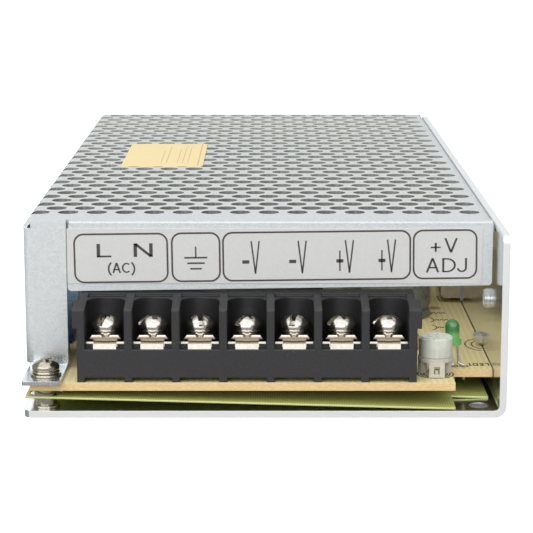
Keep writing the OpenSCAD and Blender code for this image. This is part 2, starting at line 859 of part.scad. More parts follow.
module front_label() {
  label_z = strip_z + strip_corner_r / 2;
  color("whitesmoke")
  in_case()
  along_y(cover_setback - label_t, cover_setback) translate([strip_x0, label_z])
    rounded(strip_x1 - strip_x0 - front_label_end, case_h - cover_bend_r - label_z, front_label_r);
}

module top_label() {
  color("khaki")
  in_case()
  translate([top_label_x, top_label_y, case_h]) linear_extrude(label_t)
    rounded(top_label_w, top_label_l, top_label_r);
}

module block_profile() {
  polygon([
    [block_front, board_top], [block_front, block_top - barrier_fall], [ridge_y, block_top],
    [block_front + block_d, block_top], [block_front + block_d, board_top]
  ]);
}

module pocket_plan() {
  circle(d = pocket_w);
  translate([-pocket_w / 2, -pole_y]) square([pocket_w, pole_y]);
}

module terminal_housing() {
  color("dimgray")
  in_case() {
    block_body();
    for (i = [0 : pole_count - 1], x = [-pocket_w / 2 - join, pocket_w / 2 - lip_w])
      translate([pole_x(i) + x, plate_front - fit_gap - lip_t, seat_z - join])
        cube([lip_w + join, lip_t, lip_h + join]);
  }
}

module block_body() {
  difference() {
    union() {
      along_x(block_x, block_x + block_w) block_profile();
      for (x = [block_x - ear_w, block_x + block_w])
        along_x(x, x + ear_w) intersection() {
          block_profile();
          translate([block_front, ear_z]) square([ear_l, block_h]);
        }
    }
    for (i = [0 : pole_count - 1])
      translate([pole_x(i), pole_y, 0]) {
        translate([0, 0, seat_z]) linear_extrude(block_h) pocket_plan();
        translate([-pocket_w / 2, -pole_y, ledge_z]) cube([pocket_w, ridge_y, block_h]);
        translate([0, 0, board_top + well_floor]) cylinder(d = well_d, h = seat_h);
        translate([-pocket_w / 2, -pole_y, board_top - over])
          cube([pocket_w, block_d + pole_y, foot_h + over]);
        for (s = [-1, 1])
          translate([s * pin_x - pin_w / 2 - fit_gap, pin_y - pin_d / 2 - fit_gap, board_top - over])
            cube([pin_w + 2 * fit_gap, pin_d + 2 * fit_gap, seat_h + 2 * over]);
      }
  }
}

module plate_plan() {
  difference() {
    intersection() {
      union() {
        translate([-tongue_w / 2, tongue_y - pole_y]) square([tongue_w, pole_y]);
        translate([-pole_pitch / 2, plate_front - pole_y]) square([pole_pitch, pole_pitch]);
      }
      offset_pocket(plate_clear);
    }
    circle(d = screw_d + 2 * hole_clear);
  }
}

// Plan of the pocket, smaller by a clearance at its walls
module offset_pocket(gap) {
  circle(d = pocket_w - 2 * gap);
  translate([-pocket_w / 2 + gap, -pole_y]) square([pocket_w - 2 * gap, pole_y]);
}

module terminal_plates() {
  color("silver")
  in_case()
  for (i = [0 : pole_count - 1])
    translate([pole_x(i), pole_y, 0]) {
      translate([0, 0, seat_z]) linear_extrude(plate_t) plate_plan();
      for (s = [-1, 1])
        translate([s * pin_x - pin_w / 2, pin_y - pin_d / 2, board_under - lead_tail])
          cube([pin_w, pin_d, seat_z - board_under + lead_tail + join]);
    }
}

// Front view of the clamping washer's two wings and the dip between them
module clamp_wings() {
  polygon([
    [-clamp_w / 2, clamp_foot_h], [clamp_w / 2, clamp_foot_h], [clamp_top_w / 2, clamp_t], [dip_w / 2, clamp_t],
    [dip_floor_w / 2, clamp_t - dip_d], [-dip_floor_w / 2, clamp_t - dip_d], [-dip_w / 2, clamp_t],
    [-clamp_top_w / 2, clamp_t]
  ]);
}

module clamp_washer(i) {
  clamp_rear = clamp_w - clamp_front;
  color("silver")
  in_case()
  translate([pole_x(i), pole_y, plate_top]) difference() {
    intersection() {
      union() {
        along_y(-clamp_front, clamp_rear) clamp_wings();
        along_y(clamp_foot_back - clamp_front, clamp_rear) translate([-clamp_foot_w / 2, 0])
          square([clamp_foot_w, clamp_foot_h + join]);
        along_y(-clamp_front, 0) translate([-dip_floor_w / 2, 0]) square([dip_floor_w, clamp_foot_h + join]);
      }
      linear_extrude(clamp_t) offset_pocket(hole_clear);
    }
    translate([0, 0, -over]) cylinder(d = screw_d + 2 * hole_clear, h = clamp_t + 2 * over);
  }
}

module terminal_screw(i) {
  color("silver")
  in_case()
  translate([pole_x(i), pole_y, clamp_top]) {
    translate([0, 0, neck_h]) difference() {
      domed_head(head_d, head_h);
      translate([0, 0, head_h]) rotate(screw_turn[i]) {
        cross_recess(head_d * 0.62, cross_w, cross_h);
        translate([-head_d, -slot_w / 2, -slot_h]) cube([2 * head_d, slot_w, head_h]);
      }
    }
    cylinder(d = neck_d, h = neck_h + join);
    translate([0, 0, -shank_l]) cylinder(d = screw_d, h = shank_l + join);
  }
}

module trimmer_base() {
  ring_z = board_top + trimmer_leg_h;
  color("ivory")
  in_case() {
    translate([trimmer_x, trimmer_y, ring_z]) {
      cylinder(d = trimmer_ring_d, h = trimmer_ring_t);
      cylinder(d = trimmer_pivot_d, h = trimmer_ring_t + trimmer_pivot_h);
    }
    translate([trimmer_x, trimmer_y, board_top]) {
      difference() {
        translate([-trimmer_leg_w / 2, -trimmer_ring_d / 2, 0])
          cube([trimmer_leg_w, trimmer_leg_t, trimmer_leg_h + join]);
        translate([-trimmer_leg_w * 0.17, -trimmer_ring_d, 0.7])
          cube([trimmer_leg_w * 0.34, trimmer_ring_d, trimmer_leg_h - 1.4]);
      }
      for (s = [-1, 1])
        translate([s * trimmer_post_at.x, trimmer_post_at.y, 0])
          cylinder(d = trimmer_post_d, h = trimmer_leg_h + join);
    }
    leads(trimmer_pins, trimmer_leg_h / 2);
  }
}

module trimmer_rotor() {
  rotor_z = board_top + trimmer_leg_h + trimmer_ring_t + trimmer_gap;
  rotor_h = board_top + trimmer_h - rotor_z;
  color("white")
  in_case()
  translate([trimmer_x, trimmer_y, rotor_z]) difference() {
    union() {
      cylinder(d = trimmer_d, h = rotor_h - trimmer_edge);
      cylinder(d = trimmer_d - 2 * trimmer_edge, h = rotor_h);
    }
    translate([0, 0, -over])
      cylinder(d = trimmer_pivot_d + 2 * trimmer_gap, h = over + trimmer_pivot_h);
    translate([0, 0, rotor_h]) rotate(90) cross_recess(trimmer_d * 0.5, trimmer_slot_w, 0.6);
  }
}

module lamp_lens() {
  color("limegreen")
  in_case()
  translate([lamp_x - lamp_off, lamp_y, lamp_z]) rotate([0, -lamp_lean, 0]) {
    cylinder(d = lamp_d + 2 * lamp_rim_w, h = lamp_rim_h);
    cylinder(d = lamp_d, h = lamp_l - lamp_d / 2);
    translate([0, 0, lamp_l - lamp_d / 2]) sphere(d = lamp_d);
  }
}

module lamp_leads() {
  color("silver")
  in_case()
  for (p = lamp_leads_at) {
    knee = [p.x - lamp_off * lamp_knee_share, p.y, board_top + lamp_foot_h];
    top = [p.x - lamp_off, p.y, lamp_z - 2 * fit_gap];
    foot = [p.x, p.y, board_top + lamp_pad_h];
    rod(knee, top, lamp_lead_d);
    translate(knee) sphere(d = lamp_knee_d);
    rod(foot, knee, lamp_lead_d);
    translate(foot) sphere(d = lamp_knee_d);
    leads([p], lamp_pad_h, lamp_lead_d);
  }
}

module fuse_tube() {
  color("lightcyan")
  in_case()
  translate([fuse_at.x, fuse_at.y, board_top + fuse_lift + fuse_d / 2]) rotate([0, 90, 0])
    translate([0, 0, fuse_cap_l]) cylinder(d = fuse_d - 0.4, h = fuse_l - 2 * fuse_cap_l);
}

module fuse_caps() {
  fuse_z = board_top + fuse_lift + fuse_d / 2;
  color("silver")
  in_case() {
    for (x = [fuse_at.x, fuse_at.x + fuse_l - fuse_cap_l])
      translate([x, fuse_at.y, fuse_z]) rotate([0, 90, 0]) cylinder(d = fuse_d, h = fuse_cap_l);
    for (p = fuse_leads) {
      translate([min(p.x, fuse_at.x + fuse_l - join), p.y, fuse_z]) rotate([0, 90, 0])
        cylinder(d = lead_d, h = fuse_lead_l + join);
      leads([p], fuse_lift + fuse_d / 2);
    }
  }
}

module filter_capacitor() {
  color("lightslategray")
  in_case() {
    translate([xcap_at.x, xcap_at.y, board_top]) linear_extrude(xcap_size.z)
      rounded(xcap_size.x, xcap_size.y, xcap_edge);
    leads(xcap_leads, join);
  }
}

module disc_capacitors() {
  color("royalblue")
  in_case() {
    for (p = disc_at)
      translate([p.x, p.y, board_top + disc_lift + disc_d / 2]) rotate([0, 90, 0]) {
        cylinder(d = disc_d - 1, h = disc_t, center = true);
        cylinder(d = disc_d, h = disc_t - 1, center = true);
      }
    leads(disc_leads, disc_lift + disc_d / 4);
  }
}

module inrush_limiter() {
  color("darkolivegreen")
  in_case() {
    translate([limiter_at.x, limiter_at.y, board_top + disc_lift + limiter_d / 2]) rotate([90, 0, 0]) {
      cylinder(d = limiter_d - 1, h = limiter_t, center = true);
      cylinder(d = limiter_d, h = limiter_t - 1.2, center = true);
    }
    leads(limiter_leads, disc_lift + limiter_d / 3);
  }
}

module line_choke_core() {
  color("dimgray")
  in_case()
  translate([0, 0, board_top + choke_lift]) along_y(choke_at.y - choke_t / 2, choke_at.y + choke_t / 2)
    translate([choke_at.x - choke_w / 2, 0]) difference() {
      square([choke_w, choke_h]);
      translate([choke_leg, choke_leg]) square([choke_w - 2 * choke_leg, choke_h - 2 * choke_leg]);
    }
}

module line_choke_windings() {
  coil_h = choke_h - 2 * choke_leg - 2 * fit_gap;
  coil_z = board_top + choke_lift + choke_leg + fit_gap;
  foot_y = (choke_t + choke_wall) / 2;
  color("gold")
  in_case() {
    for (s = [-1, 1])
      translate([choke_at.x + s * (choke_w - choke_leg) / 2, choke_at.y, coil_z])
        linear_extrude(coil_h) difference() {
          translate([-choke_leg / 2 - choke_wall, -choke_t / 2 - choke_wall])
            rounded(choke_leg + 2 * choke_wall, choke_t + 2 * choke_wall, 1.5);
          square([choke_leg + 2 * fit_gap, choke_t + 2 * fit_gap], center = true);
        }
    for (s = [-1, 1])
      translate([choke_at.x - choke_foot.x / 2, choke_at.y + s * foot_y - choke_foot.y / 2, board_top])
        cube([choke_foot.x, choke_foot.y, coil_z - board_top + join]);
    leads(choke_leads, 1);
  }
}

module bridge_rectifier() {
  color("dimgray")
  in_case() {
    translate([bridge_at.x, bridge_at.y, board_top + bridge_lift]) difference() {
      cube(bridge_size);
      translate([bridge_size.x / 2, -over, bridge_size.z * 0.68]) rotate([-90, 0, 0])
        cylinder(d = bridge_hole_d, h = bridge_size.y + 2 * over);
      translate([0, -over, bridge_size.z]) rotate([0, 45, 0])
        cube([bridge_corner, bridge_size.y * 3, bridge_corner], center = true);
    }
    leads(bridge_leads, bridge_lift + join);
  }
}

module electrolytic(p, d, h) {
  translate([p.x, p.y, board_top]) difference() {
    cylinder(d = d, h = h);
    translate([0, 0, neck_z]) rotate_extrude() translate([d / 2, 0]) circle(neck_r, $fn = 24);
    translate([0, 0, h]) rotate_extrude() translate([d / 2, 0]) circle(sleeve_edge, $fn = 24);
    translate([0, 0, h]) cross_recess(d * 0.7, vent_groove_w, vent_groove_h);
  }
}

module storage_capacitors() {
  color("midnightblue")
  in_case() {
    for (p = bulk_at)
      electrolytic(p, bulk_d, bulk_h);
    leads(bulk_leads, join);
  }
}

module output_capacitors() {
  color("slategray")
  in_case() {
    for (p = filter_at)
      electrolytic(p, filter_d, filter_h);
    leads(filter_leads, join);
  }
}

module transformer_core() {
  color("dimgray")
  in_case()
  translate([trafo_at.x, 0, board_top + trafo_lift]) along_y(trafo_at.y - core_t / 2, trafo_at.y + core_t / 2)
    difference() {
      translate([-core_w / 2, 0]) square([core_w, core_h]);
      for (s = [-1, 1])
        translate([s * (trafo_leg + window_w) / 2 - window_w / 2, trafo_yoke]) square([window_w, window_h]);
    }
}

// Ring around the middle leg, between an outer size and the leg with a gap
module coil_ring(w, d, gap, h) {
  linear_extrude(h) difference() {
    translate([-w / 2, -d / 2]) rounded(w, d, trafo_edge_r);
    square([trafo_leg + 2 * gap, core_t + 2 * gap], center = true);
  }
}

module transformer_bobbin() {
  color("darkslategray")
  in_case() {
    translate([trafo_at.x, trafo_at.y, 0]) {
      for (z = [fit_gap, window_h - trafo_flange - fit_gap])
        translate([0, 0, trafo_window_z + z])
          coil_ring(coil_w - 2 * fit_gap, trafo_depth, fit_gap, trafo_flange);
      translate([0, 0, trafo_window_z + fit_gap])
        coil_ring(trafo_leg + 2 * trafo_tube, core_t + 2 * trafo_tube, fit_gap, window_h - 2 * fit_gap);
      for (s = [-1, 1])
        translate([-coil_w / 2 + trafo_foot.x / 2, s * trafo_foot_y - trafo_foot.y / 2, board_top])
          cube([coil_w - trafo_foot.x, trafo_foot.y, trafo_lift + trafo_yoke + 2 * fit_gap]);
    }
    leads(trafo_leads, join);
  }
}

module transformer_winding() {
  color("gold")
  in_case()
  translate([trafo_at.x, trafo_at.y, trafo_window_z + trafo_flange + 2 * fit_gap])
    coil_ring(coil_w - 2 * trafo_inset, trafo_depth - 2 * trafo_inset, trafo_tube + fit_gap,
      window_h - 2 * trafo_flange - 4 * fit_gap);
}

module power_device(y) {
  translate([wall_in - pad_t - device_size.x, y - device_size.y / 2, board_top + device_lift]) difference() {
    cube(device_size);
    translate([-over, device_size.y / 2, device_hole_z - device_lift]) rotate([0, 90, 0])
      cylinder(r = loose_r, h = device_size.x + 2 * over);
    translate([0, -over, 0]) rotate([0, 45, 0])
      cube([device_edge, 3 * device_size.y, device_edge], center = true);
  }
  leads([for (i = [-1 : 1]) [device_x, y + i * device_lead_gap]], device_lift + join);
}

module switching_transistors() {
  color("dimgray")
  in_case() {
    power_device(device_y[2]);
    power_device(device_y[3]);
  }
}

module output_rectifiers() {
  color("rosybrown")
  in_case() {
    power_device(device_y[0]);
    power_device(device_y[1]);
  }
}

module insulating_pads() {
  color("lightgray")
  in_case()
  along_x(wall_in - pad_t, wall_in)
    for (y = device_y)
      translate([y, board_top + pad_z]) difference() {
        translate([-pad_size.x / 2, 0]) square(pad_size);
        translate([0, device_hole_z - pad_z]) circle(loose_r);
      }
}

module device_screws() {
  shank = device_size.x + pad_t + chassis_t;
  color("silver")
  in_case()
  for (y = device_y)
    translate([wall_in - pad_t - device_size.x, y, board_top + device_hole_z]) rotate([0, -90, 0]) {
      difference() {
        domed_head(board_head_d, device_head_h);
        translate([0, 0, device_head_h]) rotate(30) cross_recess(board_head_d * 0.6, 0.7, 1);
      }
      translate([0, 0, -shank]) cylinder(r = pilot_r, h = shank + join);
    }
}

module output_choke_core() {
  color("khaki")
  in_case()
  translate([toroid_at.x, toroid_at.y, toroid_z]) rotate_extrude()
    translate([toroid_r, 0]) circle(toroid_core_r);
}

module output_choke_winding() {
  color("chocolate")
  in_case() {
    for (i = [0 : toroid_turns - 1])
      translate([toroid_at.x, toroid_at.y, toroid_z]) rotate(i * 360 / toroid_turns)
        translate([toroid_r, 0, 0]) rotate([90, 0, 0]) rotate_extrude()
          translate([toroid_core_r + fit_gap + toroid_wire_d / 2, 0]) circle(d = toroid_wire_d);
    leads(toroid_leads, toroid_core_r);
  }
}

module film_capacitor() {
  color("wheat")
  in_case() {
    translate([film_at.x - film_size.x / 2, film_at.y - film_size.y / 2, board_top + film_lift])
      linear_extrude(film_size.z) rounded(film_size.x, film_size.y, film_edge);
    leads(film_leads, film_lift + join);
  }
}

module dual_row_chip(p, size, points) {
  translate([p.x - size.x / 2, p.y - size.y / 2, board_top + chip_lift]) difference() {
    cube(size);
    translate([size.x / 2, 0, size.z]) cylinder(d = chip_mark_d, h = 2 * chip_mark_h, center = true);
  }
  for (q = points) {
    leads([q], chip_lift + size.z / 2, chip_pin_d);
    translate([min(q.x, p.x), q.y - chip_pin_d / 2, board_top + chip_lift + size.z / 2 - chip_pin_d / 2])
      cube([abs(q.x - p.x), chip_pin_d, chip_pin_t]);
  }
}

module control_chip() {
  color("dimgray")
  in_case() dual_row_chip(chip_at, chip_size, chip_leads);
}

module optocoupler() {
  color("ivory")
  in_case() dual_row_chip(opto_at, opto_size, opto_leads);
}

module resistors() {
  axis_z = board_top + resistor_d / 2;
  color("tan")
  in_case()
  for (p = resistor_at) {
    translate([p.x, p.y, axis_z]) rotate([90, 0, 0]) {
      cylinder(d = resistor_d * 0.8, h = resistor_l, center = true);
      for (s = [-1, 1])
        translate([0, 0, s * resistor_l * 0.38])
          cylinder(d = resistor_d, h = resistor_l * 0.24, center = true);
      cylinder(d = resistor_wire_d, h = resistor_span, center = true);
    }
    leads(pair_y(p, resistor_span), (resistor_d + resistor_wire_d) / 2, resistor_wire_d);
  }
}

chassis();
cover();
insulating_sheet();
main_board();
standoffs();
board_screws();
spring_washers();
flat_washers();
cover_screws();
front_label();
top_label();
terminal_housing();
terminal_plates();
clamp_washer(0);  // clamp_washer_1
clamp_washer(1);  // clamp_washer_2
clamp_washer(2);  // clamp_washer_3
clamp_washer(3);  // clamp_washer_4
clamp_washer(4);  // clamp_washer_5
clamp_washer(5);  // clamp_washer_6
clamp_washer(6);  // clamp_washer_7
terminal_screw(0);  // terminal_screw_1
terminal_screw(1);  // terminal_screw_2
terminal_screw(2);  // terminal_screw_3
terminal_screw(3);  // terminal_screw_4
terminal_screw(4);  // terminal_screw_5
terminal_screw(5);  // terminal_screw_6
terminal_screw(6);  // terminal_screw_7
trimmer_base();
trimmer_rotor();
lamp_lens();
lamp_leads();
fuse_tube();
fuse_caps();
filter_capacitor();
disc_capacitors();
inrush_limiter();
line_choke_core();
line_choke_windings();
bridge_rectifier();
storage_capacitors();
transformer_core();
transformer_bobbin();
transformer_winding();
switching_transistors();
output_rectifiers();
insulating_pads();
device_screws();
output_choke_core();
output_choke_winding();
output_capacitors();
film_capacitor();
control_chip();
optocoupler();
resistors();
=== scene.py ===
"""Looks of an enclosed switching power supply: finishes of every part, print, board marks and solder."""
import math

import bmesh
import bpy
import numpy as np
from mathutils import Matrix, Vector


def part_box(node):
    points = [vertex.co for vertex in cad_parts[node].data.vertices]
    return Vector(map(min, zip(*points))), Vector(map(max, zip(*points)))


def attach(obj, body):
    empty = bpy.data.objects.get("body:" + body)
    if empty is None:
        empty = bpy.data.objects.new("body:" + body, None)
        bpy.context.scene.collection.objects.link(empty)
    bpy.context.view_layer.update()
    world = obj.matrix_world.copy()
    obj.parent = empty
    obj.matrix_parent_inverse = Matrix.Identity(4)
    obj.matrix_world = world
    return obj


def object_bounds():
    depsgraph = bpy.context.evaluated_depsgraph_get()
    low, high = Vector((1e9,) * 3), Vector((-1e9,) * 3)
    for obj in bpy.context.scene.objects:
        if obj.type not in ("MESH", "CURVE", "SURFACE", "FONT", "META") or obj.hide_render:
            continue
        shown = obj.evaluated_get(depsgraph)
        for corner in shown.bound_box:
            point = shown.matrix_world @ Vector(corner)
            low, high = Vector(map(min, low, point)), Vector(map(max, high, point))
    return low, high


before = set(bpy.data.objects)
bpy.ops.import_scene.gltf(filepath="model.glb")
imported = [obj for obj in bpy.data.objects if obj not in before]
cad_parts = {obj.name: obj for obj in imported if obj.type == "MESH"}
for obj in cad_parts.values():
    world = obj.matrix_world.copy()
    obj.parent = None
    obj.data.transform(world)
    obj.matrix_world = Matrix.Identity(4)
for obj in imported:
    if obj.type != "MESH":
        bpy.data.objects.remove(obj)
CAD_LOW, CAD_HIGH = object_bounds()
MM = 0.001
POLES = range(1, 8)


# Places that the pieces below are set out from, in millimetres

def box_mm(node):
    """Lowest and highest corner of a CAD node in millimetres."""
    low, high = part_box(node)
    return np.array(low) / MM, np.array(high) / MM


LABEL_LOW, LABEL_HIGH = box_mm("front_label")
STICKER_LOW, STICKER_HIGH = box_mm("top_label")
BOARD_LOW, BOARD_HIGH = box_mm("main_board")
WALL_THICK = 1.4
WALL_IN = box_mm("chassis")[1][0] - WALL_THICK
WALL_TOP = box_mm("chassis")[1][2]
CATCH = (WALL_IN, -65.75, 9.45)
COLLAR = (WALL_IN, -77.15, 19.9)
LUG_WASHER_TOP = box_mm("flat_washers")[1][2]
TRIMMER_AXIS = sum(box_mm("trimmer_rotor"))[:2] / 2
LEAD_LOW, LEAD_HIGH = box_mm("lamp_leads")
LEAD_FOOT_R, LEAD_PITCH = 0.3, 2.1
LEAD_Y = (LEAD_LOW[1] + LEAD_HIGH[1]) / 2
LAMP_PADS = [(LEAD_HIGH[0] - LEAD_FOOT_R - step, LEAD_Y) for step in (LEAD_PITCH, 0)]
CLAMP_TOP = box_mm("clamp_washer_1")[1][2] + 0.02
PLATE_TOP = box_mm("clamp_washer_1")[0][2]
HEAD_HIGH, HEAD_SIDE = 3, 1.7
HEAD_LOW = box_mm("terminal_screw_1")[1][2] - HEAD_HIGH


# Camera and light

LENS_MM = 126.85
SENSOR_MM = 36.0
CAMERA_PLACE = (0.00076, -0.46345, 0.10415)
CAMERA_PITCH = 78.663
SURROUND = 0.36
MIDDLE = (0, -0.05, 0.02)
SOFTBOXES = (("front_softbox", (-0.28, -0.82, 0.52), (1.9, 1.0), 11.8),
             ("overhead_softbox", (-0.05, -0.2, 0.9), (1.4, 0.9), 3.9),
             ("rear_softbox", (0, 1.2, 0.45), (1.8, 0.6), 3.0))
VENTS = (0.03, -0.055, CAD_HIGH[2] - 0.0015)
VENT_LIGHT_SIZE, VENT_LIGHT_POWER = (0.03, 0.06), 0.006


def add_camera():
    """Long-lens camera in front of the terminals, looking down a little, with nothing out of focus."""
    lens = bpy.data.cameras.new("camera")
    lens.lens, lens.sensor_width = LENS_MM, SENSOR_MM
    lens.clip_start, lens.clip_end = 0.01, 50
    camera = bpy.data.objects.new("camera", lens)
    camera.location = CAMERA_PLACE
    camera.rotation_euler = (math.radians(CAMERA_PITCH), 0, 0)
    bpy.context.scene.collection.objects.link(camera)
    bpy.context.scene.camera = camera


def add_softbox(name, place, target, size, power):
    """White area light at a place, facing a target."""
    light = bpy.data.lights.new(name, "AREA")
    light.shape, light.size, light.size_y = "RECTANGLE", size[0], size[1]
    light.energy = power
    lamp = bpy.data.objects.new(name, light)
    lamp.location = place
    toward = Vector(target) - Vector(place)
    lamp.rotation_euler = toward.to_track_quat("-Z", "Y").to_euler()
    bpy.context.scene.collection.objects.link(lamp)
    return lamp


def light_studio():
    """Dim surround, broad softboxes in front, overhead and low behind, and a weak one under the vents."""
    scene = bpy.context.scene
    scene.view_settings.view_transform = "Standard"
    world = bpy.data.worlds.new("studio")
    world.use_nodes = True
    surround = world.node_tree.nodes["Background"]
    surround.inputs["Color"].default_value = (1.0, 1.0, 1.0, 1.0)
    surround.inputs["Strength"].default_value = SURROUND
    scene.world = world
    for name, place, size, power in SOFTBOXES:
        add_softbox(name, place, MIDDLE, size, power)
    below_vents = (VENTS[0], VENTS[1], 0)
    inner = add_softbox("vent_softbox", VENTS, below_vents, VENT_LIGHT_SIZE, VENT_LIGHT_POWER)
    inner.visible_glossy = False


# Meshes

MERGE_M, SLIVER_M = 1e-7, 1e-8
SMOOTH_ANGLE = 40


def grid_quads(rows, columns, wrap_rows=False, wrap_columns=False):
    """Quads of a grid of points: each point with its neighbours along the row, diagonal and next row."""
    row = np.arange(rows if wrap_rows else rows - 1)
    column = np.arange(columns if wrap_columns else columns - 1)
    row, column = (a.ravel() for a in np.meshgrid(row, column, indexing="ij"))
    after, beside = (row + 1) % rows, (column + 1) % columns
    near = (row * columns + column, row * columns + beside)
    far = (after * columns + beside, after * columns + column)
    return np.stack(near + far, axis=1)


def add_piece(name, patches, material, body):
    """One object from patches of points (in mm) and quads, with doubles merged and faces turned outwards."""
    starts = np.cumsum([0] + [len(points) for points, quads in patches])
    points = np.concatenate([points for points, quads in patches]) * MM
    quads = np.concatenate([quads + start for (_, quads), start in zip(patches, starts)])
    mesh = bpy.data.meshes.new(name)
    mesh.from_pydata(points.tolist(), [], quads.tolist())
    shape = bmesh.new()
    shape.from_mesh(mesh)
    bmesh.ops.remove_doubles(shape, verts=shape.verts, dist=MERGE_M)
    bmesh.ops.dissolve_degenerate(shape, edges=shape.edges, dist=SLIVER_M)
    bmesh.ops.recalc_face_normals(shape, faces=shape.faces)
    shape.to_mesh(mesh)
    shape.free()
    mesh.shade_smooth()
    mesh.set_sharp_from_angle(angle=math.radians(SMOOTH_ANGLE))
    mesh.materials.append(material)
    piece = bpy.data.objects.new(name, mesh)
    bpy.context.scene.collection.objects.link(piece)
    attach(piece, body)
    return piece


def turned(profile, centre, sides=24):
    """Surface of revolution: a profile of (radius, height) points turned about a vertical axis at centre."""
    angle = np.linspace(0, 2 * np.pi, sides, endpoint=False)
    radius, height = np.array(profile, float).T
    x = centre[0] + radius[:, None] * np.cos(angle)
    y = centre[1] + radius[:, None] * np.sin(angle)
    z = centre[2] + height[:, None] + 0 * angle
    return np.stack([x, y, z], axis=-1).reshape(-1, 3), grid_quads(len(radius), sides, wrap_columns=True)


# Print: lines of ink with a real thickness, in millimetres

INK_SUNK, INK_HIGH = 0.01, 0.02
PRINT_TURN = math.radians(0.68)


def line(*points):
    """Straight stroke through points."""
    return np.array(points, float)


def arc(centre, radii, start, end, count=17):
    """Part of an ellipse from a start angle to an end angle in degrees."""
    angle = np.radians(np.linspace(start, end, count))
    return np.array(centre) + np.stack([radii[0] * np.cos(angle), radii[1] * np.sin(angle)], axis=1)


def stroke_sides(path, width, closed=False):
    """Both sides of a stroke: the path is set off by half the width, square to its direction."""
    if closed:
        ahead = np.roll(path, -1, axis=0) - np.roll(path, 1, axis=0)
    else:
        ahead = np.gradient(path, axis=0)
    ahead = ahead / np.linalg.norm(ahead, axis=1, keepdims=True)
    aside = np.stack([-ahead[:, 1], ahead[:, 0]], axis=1) * width / 2
    return path + aside, path - aside


def ink_bar(left, right, place, closed=False):
    """Closed bar of ink: four corner lines, two on each side of the stroke, below and above the surface."""
    corners = ((left, -INK_SUNK), (left, INK_HIGH), (right, INK_HIGH), (right, -INK_SUNK))
    points = np.stack([place(side, level) for side, level in corners], axis=1)
    count = len(points)
    quads = grid_quads(count, 4, wrap_rows=closed, wrap_columns=True)
    if not closed:
        last = 4 * count - 1
        ends = np.array([[0, 1, 2, 3], [last, last - 1, last - 2, last - 3]])
        quads = np.concatenate([quads, ends])
    return points.reshape(-1, 3), quads


def ink_line(path, width, place):
    """Bar of ink along an open path."""
    return ink_bar(*stroke_sides(path, width), place)


def on_label(flat, level):
    """Place of (x, z) print on the front label, from its lower left corner and turned about its middle."""
    middle = (LABEL_HIGH - LABEL_LOW)[[0, 2]] / 2
    across, up = (flat - middle).T
    x = LABEL_LOW[0] + middle[0] + across * math.cos(PRINT_TURN) - up * math.sin(PRINT_TURN)
    z = LABEL_LOW[2] + middle[1] + across * math.sin(PRINT_TURN) + up * math.cos(PRINT_TURN)
    return np.stack([x, np.full(len(flat), LABEL_LOW[1] - level), z], axis=1)


def on_board(flat, level):
    """Place of (x, y) print on the board's top, in the part's frame."""
    return np.stack([flat[:, 0], flat[:, 1], np.full(len(flat), BOARD_HIGH[2] + level)], axis=1)


def on_sticker(flat, level):
    """Place of (x, y) print on the top label, from its front left corner."""
    x, y = flat[:, 0] + STICKER_LOW[0], flat[:, 1] + STICKER_LOW[1]
    return np.stack([x, y, np.full(len(flat), STICKER_HIGH[2] + level)], axis=1)


def letter_strokes(sign, bold):
    """Centre lines of a letter of height 1 for strokes of width bold."""
    half = bold / 2
    top, low = 1 - half, half
    stem = line((half, 0), (half, 1))
    far = 0.72 - half
    bowl = arc((0.24, 0.5), (0.4, 0.5 - half), 90, -90)
    hook = arc((0.23 + half / 2, 0.3), (0.23 - half / 2, 0.3 - half), 0, -175)
    dash = line((0, 0.36), (0.5, 0.36))
    signs = {
        "L": [stem, line((0, low), (0.55, low))],
        "N": [stem, line((half, 0.98), (far, 0.02)), line((far, 0), (far, 1))],
        "A": [line((0.34, 1), (half, 0)), line((0.34, 1), (0.68 - half, 0)),
              line((0.14, 0.34), (0.54, 0.34))],
        "C": [arc((0.37, 0.5), (0.37 - half, 0.5 - half), 48, 312, 25)],
        "D": [stem, np.concatenate([[[0, top]], bowl, [[0, low]]])],
        "J": [np.concatenate([[[0.46, 1]], hook])],
        "E": [stem, *[line((0, h), (0.5, h)) for h in (low, 0.5, top)]],
        "V": [line((half, 1), (0.34, 0)), line((0.68 - half, 1), (0.34, 0))],
        "1": [line((0.2, 0), (0.2, 1)), line((0.2, top), (0, 0.75))],
        "(": [arc((0.5, 0.4), (0.42, 0.72), 118, 242)],
        ")": [arc((-0.2, 0.4), (0.42, 0.72), 62, -62)],
        "-": [dash],
        "+": [dash, line((0.25, 0.05), (0.25, 0.68))],
    }
    return signs[sign]


def lettering(sign, corner, scale, bold, place):
    """Ink bars of one letter: strokes set off at height 1, stretched by scale and moved to corner."""
    patches = []
    for path in letter_strokes(sign, bold):
        flat = [np.array(corner) + side * np.array(scale) for side in stroke_sides(path, bold)]
        patches.append(ink_bar(*flat, place))
    return patches


def rounded_frame(low, high, radius, width, place):
    """Closed line of ink along a rectangle with round corners: four quarter circles, joined straight."""
    left, right = low[0] + radius, high[0] - radius
    under, over = low[1] + radius, high[1] - radius
    corners = ((right, over, 0), (left, over, 90), (left, under, 180), (right, under, 270))
    path = np.concatenate([arc((x, z), (radius, radius), start, start + 90, 9) for x, z, start in corners])
    return ink_bar(*stroke_sides(path, width, True), place, True)


FRAME_LOW, FRAME_HIGH = 0.7, 10.7
FRAME_LINE, FRAME_R = 0.36, 1.9
FRAME_ENDS = ((1.55, 20.55), (21.5, 31.25), (31.95, 70.2), (70.9, 83.75))
EARTH_X, EARTH_TOP = 26.35, 7.9
EARTH_BARS = ((4.7, 5.6), (3.6, 4.45), (2.35, 3.3))
EARTH_STEM_LINE, EARTH_BAR_LINE = 0.3, 0.34
V_STEP = 1.7
OUTPUTS = (("-", 35.85), ("-", 45.45), ("+", 55.1), ("+", 63.7))
